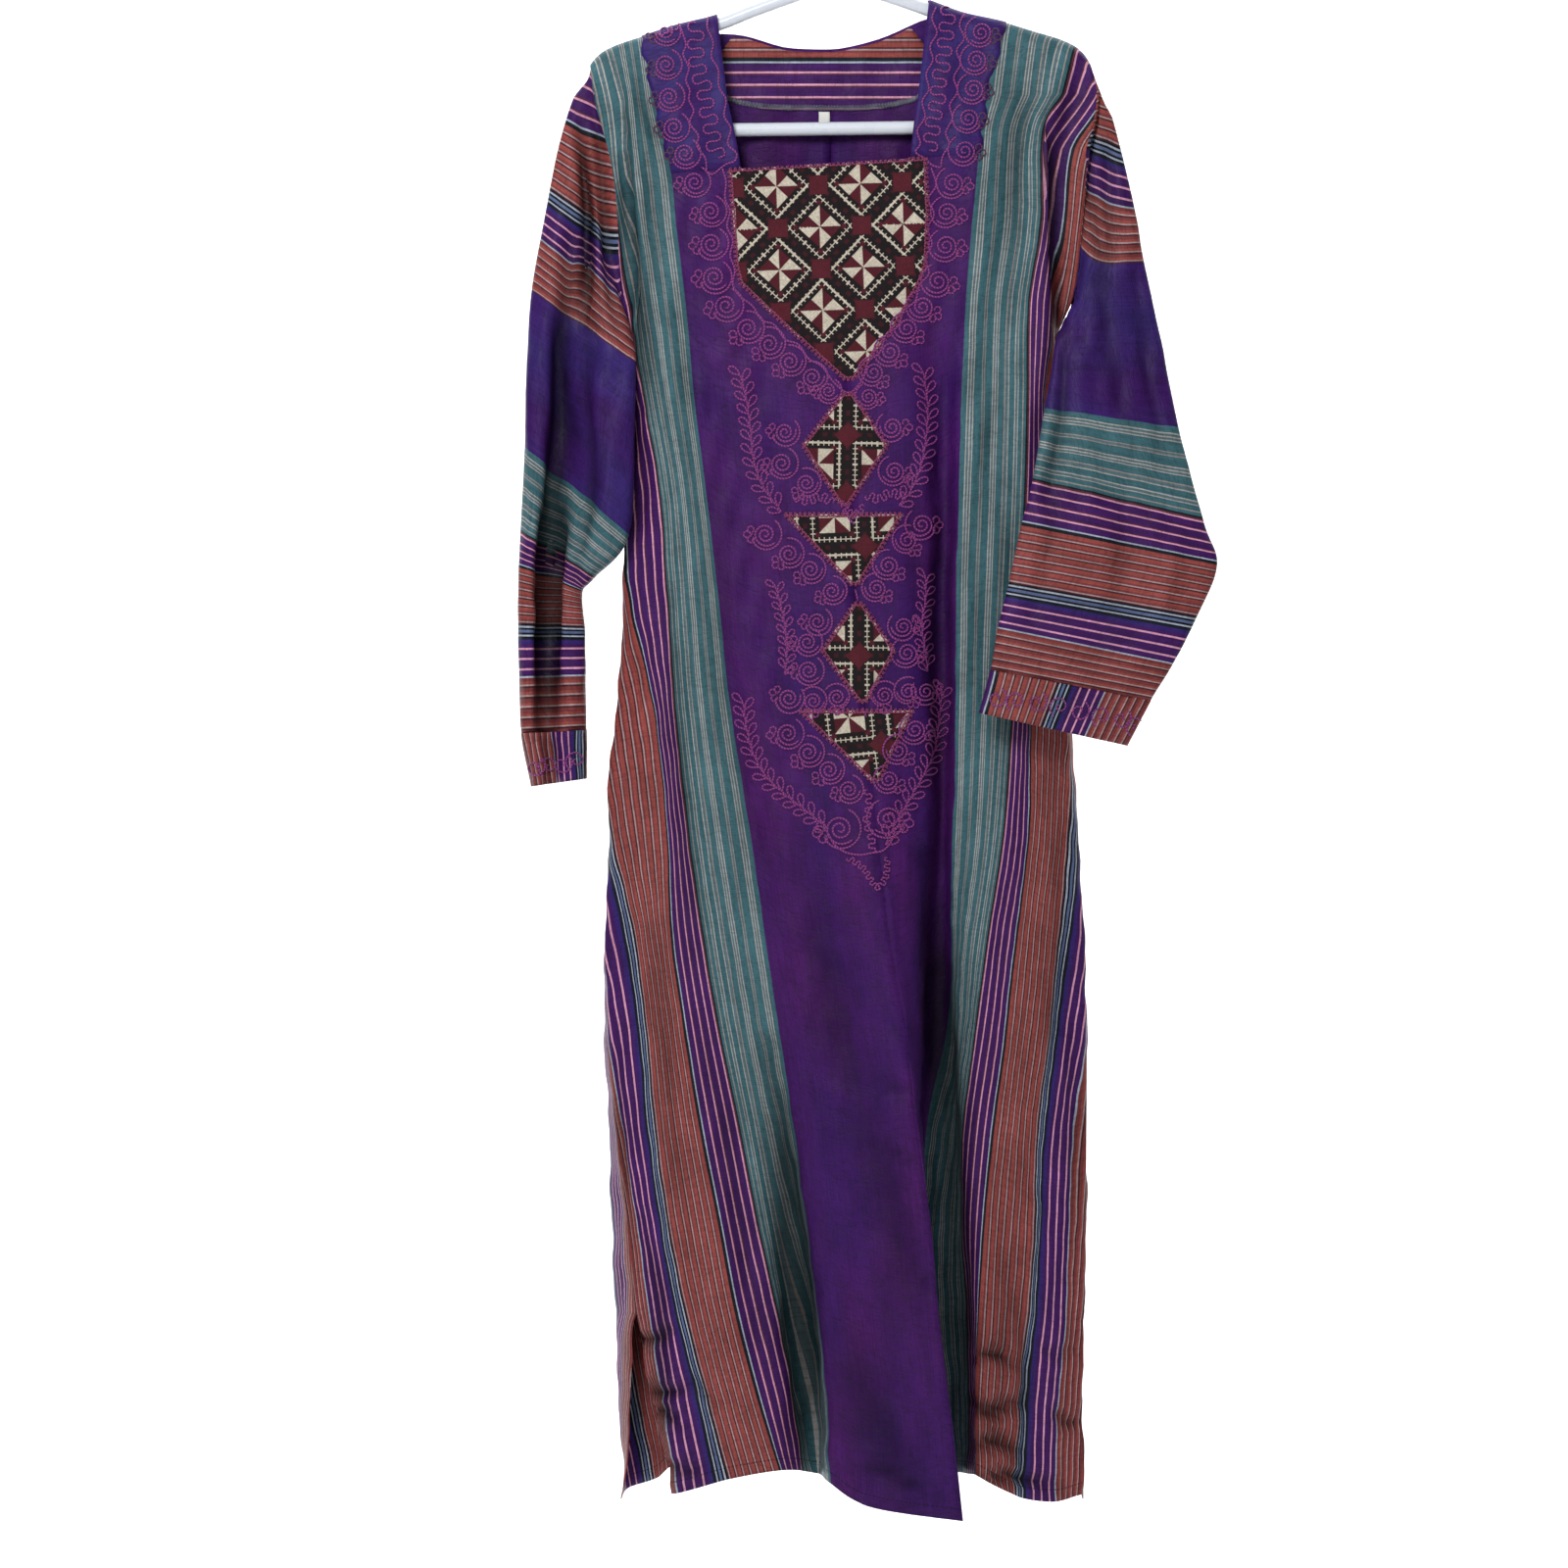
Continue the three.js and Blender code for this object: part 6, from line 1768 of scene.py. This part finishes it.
class KAFTAN_OT_sleeves(KaftanOperator, bpy.types.Operator):
    """Hangs both sleeves with their cuffs"""

    bl_idname = "kaftan.sleeves"
    bl_label = "Sleeves and cuffs"

    def execute(self, context):
        cloth = striped_cloth("striped silk, sleeves", 0, "night")
        for side, table in (("left", LEFT_SLEEVE), ("right", RIGHT_SLEEVE)):
            table = np.array(table, float)
            cuff_start = len(table) - CUFF_ROWS
            grid = tube_of(side, table, 0, cuff_start, SLEEVE_RINGS, SHAPES, "sleeve_" + side)
            obj = grid_object("sleeve_cloth_" + side, grid, cloth)
            thicken(obj, context.scene.kaftan.cloth_wall / MM)
            cuff = tube_of(side, table, cuff_start, cuff_start + 1, CUFF_RINGS, SHAPES, "cuff_" + side)
            share = (1 - np.cos(np.arange(SLEEVE_AROUND + 1) / SLEEVE_AROUND * 2 * np.pi)) / 2
            first, last = CUFF_WEFT[side]
            cuff["weft"] = np.repeat(lerp(first, last, share)[None], len(cuff["rows"]), axis=0)
            cuff["warp"] = np.repeat(np.linspace(0, CUFF_LENGTH, len(cuff["rows"]))[:, None], SLEEVE_AROUND + 1, axis=1)
            cuff["rows"] = cuff["rows"] + cuff["normals"] * CUFF_PROUD
            SHAPES["cuff_" + side] = cuff
            obj = grid_object("cuff_cloth_" + side, cuff, cloth)
            thicken(obj, context.scene.kaftan.cloth_wall / MM + CUFF_PROUD)
        return {"FINISHED"}


class KAFTAN_OT_straps(KaftanOperator, bpy.types.Operator):
    """Lays the scalloped shoulder straps over the front"""

    bl_idname = "kaftan.straps"
    bl_label = "Shoulder straps"

    def execute(self, context):
        cloth = purple_cloth("purple silk")
        for side in ("left", "right"):
            grid = strap_grid(side, SHAPES["front_" + side])
            SHAPES["strap_" + side] = grid
            obj = grid_object("shoulder_strap_" + side, grid, cloth)
            thicken(obj, context.scene.kaftan.patch_wall / MM)
        return {"FINISHED"}


class KAFTAN_OT_patches(KaftanOperator, bpy.types.Operator):
    """Lays the pieces of old cross stitch down the front"""

    bl_idname = "kaftan.patches"
    bl_label = "Cross-stitch patches"

    def execute(self, context):
        cloth = cross_stitch_cloth("cross stitch")
        for name in PATCHES:
            grid = patch_grid(name, SHAPES["front"])
            SHAPES[name] = grid
            obj = grid_object("stitched_" + name, grid, cloth)
            thicken(obj, context.scene.kaftan.patch_wall / MM)
        return {"FINISHED"}


def facing_grid(wall):
    """The striped facing on the inner side of the back neck."""
    rows, normals = [], []
    for i in range(FACING_ROWS + 1):
        down = i / FACING_ROWS
        left = lerp(FACING_TOP[0], FACING_FOOT[0], min(1, down * 2))
        right = lerp(FACING_TOP[1], FACING_FOOT[1], min(1, down * 2))
        row, row_normals = [], []
        for share in np.linspace(0, 1, FACING_COLUMNS + 1):
            x = lerp(left, right, share)
            foot = lerp(FACING_MIDDLE, FACING_ENDS, (2 * share - 1) ** 4)
            z = lerp(scoop(x) - FACING_BELOW, foot, down)
            place, normal = lay_on(SHAPES["back"], x, z, 12)
            row.append(place + normal * (wall + LAID_LIFT))
            row_normals.append(normal)
        rows.append(row)
        normals.append(row_normals)
    rows, normals = np.array(rows), np.array(normals)
    weft = FACING_WEFT[0] + (rows[..., 2] - FACING_WEFT[1]) * FACING_WEFT[2]
    exists = np.ones((rows.shape[0] - 1, rows.shape[1] - 1), bool)
    return {"rows": rows, "exists": exists, "normals": normals, "weft": weft, "warp": rows[..., 0]}


class KAFTAN_OT_facing(KaftanOperator, bpy.types.Operator):
    """Lays the back neck's facing with its overlocked edge, and the blank label"""

    bl_idname = "kaftan.facing"
    bl_label = "Facing and label"

    def execute(self, context):
        wall = context.scene.kaftan.cloth_wall / MM
        grid = facing_grid(wall)
        obj = grid_object("neck_facing_back", grid, striped_cloth("striped silk, facing", 0, "night"))
        thicken(obj, context.scene.kaftan.patch_wall / MM)
        foot, above = grid["rows"][-1], grid["rows"][-2]
        up = (above - foot) / np.linalg.norm(above - foot, axis=1, keepdims=True)
        run = lengths_along(foot)
        count = int(run[-1] / OVERLOCK_PITCH)
        at = np.linspace(0, run[-1], 2 * count + 1)
        swing = np.where(np.arange(len(at)) % 2, OVERLOCK_HEIGHT, -0.4)
        centre = np.stack([np.interp(at, run, foot[:, k]) for k in range(3)], axis=1)
        rise = np.stack([np.interp(at, run, up[:, k]) for k in range(3)], axis=1)
        out = np.stack([np.interp(at, run, grid["normals"][-1][:, k]) for k in range(3)], axis=1)
        places = centre + rise * swing[:, None] + out * OVERLOCK_RADIUS
        points, faces, uvs = tube_mesh([(places, out)], OVERLOCK_RADIUS, 5)
        # the thread's darker second colour is painted shade in the grooves of its twist
        thread = cord_material("overlock thread", srgb(196, 204, 214), srgb(140, 150, 166), 1.6)
        stitches = made_object("facing_overlock", points, faces, uvs, thread)
        recalculated(stitches)
        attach(stitches, "root")
        rows, normals = [], []
        for z in np.linspace(LABEL_TOP, LABEL_FOOT, LABEL_STEPS + 1):
            row, row_normals = [], []
            for x in np.linspace(LABEL_LEFT, LABEL_RIGHT, LABEL_STEPS + 1):
                place, normal = lay_on(SHAPES["back"], x, z, 12)
                curl = 0.5 * math.sin((z - LABEL_TOP) * 0.3) ** 2
                row.append(place + normal * (wall + LAID_LIFT + curl))
                row_normals.append(normal)
            rows.append(row)
            normals.append(row_normals)
        rows = np.array(rows)
        exists = np.ones((LABEL_STEPS, LABEL_STEPS), bool)
        tag = {"rows": rows, "exists": exists, "normals": np.array(normals), "weft": rows[..., 0], "warp": rows[..., 2]}
        obj = grid_object("size_label", tag, label_material("label tape"))
        thicken(obj, LABEL_WALL)
        return {"FINISHED"}


class KAFTAN_OT_embroidery(KaftanOperator, bpy.types.Operator):
    """Couches the cords: scrolls, clovers, meanders, sprigs and the patches' looped borders"""

    bl_idname = "kaftan.embroidery"
    bl_label = "Couched cords"

    def execute(self, context):
        settings = context.scene.kaftan
        radius = settings.cord_radius / MM
        covered = [SHAPES[key] for key in ("front_left", "front_right", "strap_left", "strap_right", *PATCHES)]
        tree = search_tree(covered)
        # each cord's second colour is painted shade in its grooves, and its first is partly painted highlight
        bright = cord_material("magenta cord", tuple(settings.cord_bright_ply_and_highlight), tuple(settings.cord_dark_ply_and_groove_shade), 2.8)
        dark = cord_material("plum cord", srgb(92, 46, 84), srgb(44, 20, 50), 2.8)
        loops = cord_material("crimson cord", srgb(160, 60, 110), srgb(78, 20, 50), 2.2)
        for side, scrolls in (("left", SCROLLS_LEFT), ("right", SCROLLS_RIGHT)):
            curls = [spiral(x, y, size, start, side == "left") for x, y, size, start, _, _ in scrolls]
            curls += [joining_arc(x, y, size, facing, side == "left") for x, y, size, _, facing, _ in scrolls]
            dark_petals, bright_petals = petals_of(scrolls)
            cords_object("scrolls_" + side, curls, tree, radius, bright)
            cords_object("clovers_" + side, bright_petals, tree, radius * 0.9, bright)
            cords_object("clovers_shoulder_" + side, dark_petals, tree, radius * 0.9, dark)
        lines = [list(map(tuple, rounded_path([(x, y, 0) for x, y in wave], 5)[:, :2])) for wave in WAVES + STEMS]
        lines += [meander(*row) for row in MEANDERS]
        cords_object("wavy_lines", lines, tree, radius, bright)
        cords_object("leafy_sprigs", [sprig(*row) for row in SPRIGS], tree, radius * 0.9, bright)
        borders = [looped_border(patch_border(name), LOOP_SIZE, LOOP_PITCH) for name in PATCHES]
        cords_object("patch_borders", borders, tree, radius * 0.85, loops)
        for side, centres in CUFF_SCROLLS.items():
            cuff = SHAPES["cuff_" + side]
            curls = []
            for k, (x, y) in enumerate(centres):
                curls.append(spiral(x, y, CUFF_CURL, 200 if k % 2 else 20, True, turns=1.15))
            cords_object("cuff_scroll_" + side, curls, search_tree([cuff]), radius * 0.85, bright)
        return {"FINISHED"}


class KAFTAN_OT_cloth_facts(KaftanOperator, bpy.types.Operator):
    """Attaches each sheet of cloth to the root, and hides the solid that it stands for"""

    bl_idname = "kaftan.cloth_facts"
    bl_label = "Cloth facts"

    def execute(self, context):
        for name, (node, slot, held, rests_on, width, length) in CUTS.items():
            finish_sheet(bpy.data.objects[name], node)
        return {"FINISHED"}


STAGE_BEND_STEPS = 16
FLOOR_REACH = 0.01  # a corner this close to the floor is at its back edge


def select_edges(mesh, is_chosen):
    """Selects each edge whose ends both pass the test, and no face."""
    for face in mesh.polygons:
        face.select = False
    for point in mesh.vertices:
        point.select = is_chosen(point.co)
    for edge in mesh.edges:
        edge.select = all(mesh.vertices[k].select for k in edge.vertices)


class KAFTAN_OT_stage(KaftanOperator, bpy.types.Operator):
    """Sets up the pale floor and backdrop, soft lights and the camera"""

    bl_idname = "kaftan.stage"
    bl_label = "Stage, lights and camera"

    def execute(self, context):
        clear_selection()
        bpy.ops.mesh.primitive_plane_add(size=1, location=(0, 0, FLOOR_LEVEL))
        floor = context.object
        floor.name = floor.data.name = "studio_floor"
        bpy.ops.transform.resize(value=(STAGE_WIDE, STAGE_DEEP, 1))
        bpy.ops.object.transform_apply(location=True, rotation=True, scale=True)
        select_edges(floor.data, lambda point: point.y > 0)
        bpy.ops.object.mode_set(mode="EDIT")
        bpy.ops.mesh.select_mode(type="EDGE")
        bpy.ops.mesh.extrude_edges_move(TRANSFORM_OT_translate={"value": (0, 0, STAGE_HIGH)})
        bpy.ops.object.mode_set(mode="OBJECT")
        select_edges(floor.data, lambda point: point.y > 0 and point.z < FLOOR_LEVEL + FLOOR_REACH)
        bpy.ops.object.mode_set(mode="EDIT")
        bpy.ops.mesh.bevel(offset=STAGE_BEND, segments=STAGE_BEND_STEPS, affect="EDGES")
        bpy.ops.mesh.select_all(action="SELECT")
        bpy.ops.mesh.normals_make_consistent(inside=False)
        bpy.ops.object.mode_set(mode="OBJECT")
        if min(floor.data.polygons, key=lambda face: face.center.z).normal.z < 0:
            floor.data.flip_normals()
        bpy.ops.object.shade_smooth()
        floor.data.materials.append(stage_material("matt paper"))
        clear_selection()
        for name, place, aim, size, power in LIGHTS:
            light = bpy.data.lights.new(name, "AREA")
            light.shape = "DISK"
            light.size = size
            light.energy = power
            lamp = bpy.data.objects.new(name, light)
            lamp.location = place
            lamp.rotation_euler = (Vector(aim) - Vector(place)).to_track_quat("-Z", "Y").to_euler()
            lamp.visible_camera = False
            context.scene.collection.objects.link(lamp)
        world = bpy.data.worlds.new("studio")
        world.use_nodes = True
        world.node_tree.nodes["Background"].inputs[0].default_value = (1, 1, 1, 1)
        world.node_tree.nodes["Background"].inputs[1].default_value = WORLD_LIGHT
        context.scene.world = world
        lens = bpy.data.cameras.new("front camera")
        lens.sensor_width = SENSOR
        lens.lens = SENSOR * CAMERA_AWAY / VIEW_WIDE
        camera = bpy.data.objects.new("front camera", lens)
        camera.location = (CAMERA_X, -CAMERA_AWAY, CAMERA_Z)
        camera.rotation_euler = (math.pi / 2, 0, 0)
        context.scene.collection.objects.link(camera)
        context.scene.camera = camera
        context.scene.view_settings.view_transform = "Standard"
        return {"FINISHED"}


class KAFTAN_PT_panel(bpy.types.Panel):
    """Lists the steps that build the dress"""

    bl_label = "Kaftan dress"
    bl_idname = "KAFTAN_PT_panel"
    bl_space_type = "VIEW_3D"
    bl_region_type = "UI"
    bl_category = "Kaftan"

    def draw(self, context):
        settings = context.scene.kaftan
        for field in KaftanSettings.__annotations__:
            self.layout.prop(settings, field)
        for step in OPERATORS:
            self.layout.operator(step.bl_idname)


OPERATORS = (
    KAFTAN_OT_stage,
    KAFTAN_OT_hanger,
    KAFTAN_OT_panels,
    KAFTAN_OT_sleeves,
    KAFTAN_OT_straps,
    KAFTAN_OT_patches,
    KAFTAN_OT_facing,
    KAFTAN_OT_embroidery,
    KAFTAN_OT_cloth_facts,
)


def register():
    for kind in (KaftanSettings, *OPERATORS, KAFTAN_PT_panel):
        bpy.utils.register_class(kind)
    bpy.types.Scene.kaftan = bpy.props.PointerProperty(type=KaftanSettings)


def unregister():
    del bpy.types.Scene.kaftan
    for kind in reversed((KaftanSettings, *OPERATORS, KAFTAN_PT_panel)):
        bpy.utils.unregister_class(kind)


def main():
    register()
    for step in OPERATORS:
        group, name = step.bl_idname.split(".")
        getattr(getattr(bpy.ops, group), name)()
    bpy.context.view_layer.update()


if __name__ == "__main__":
    main()
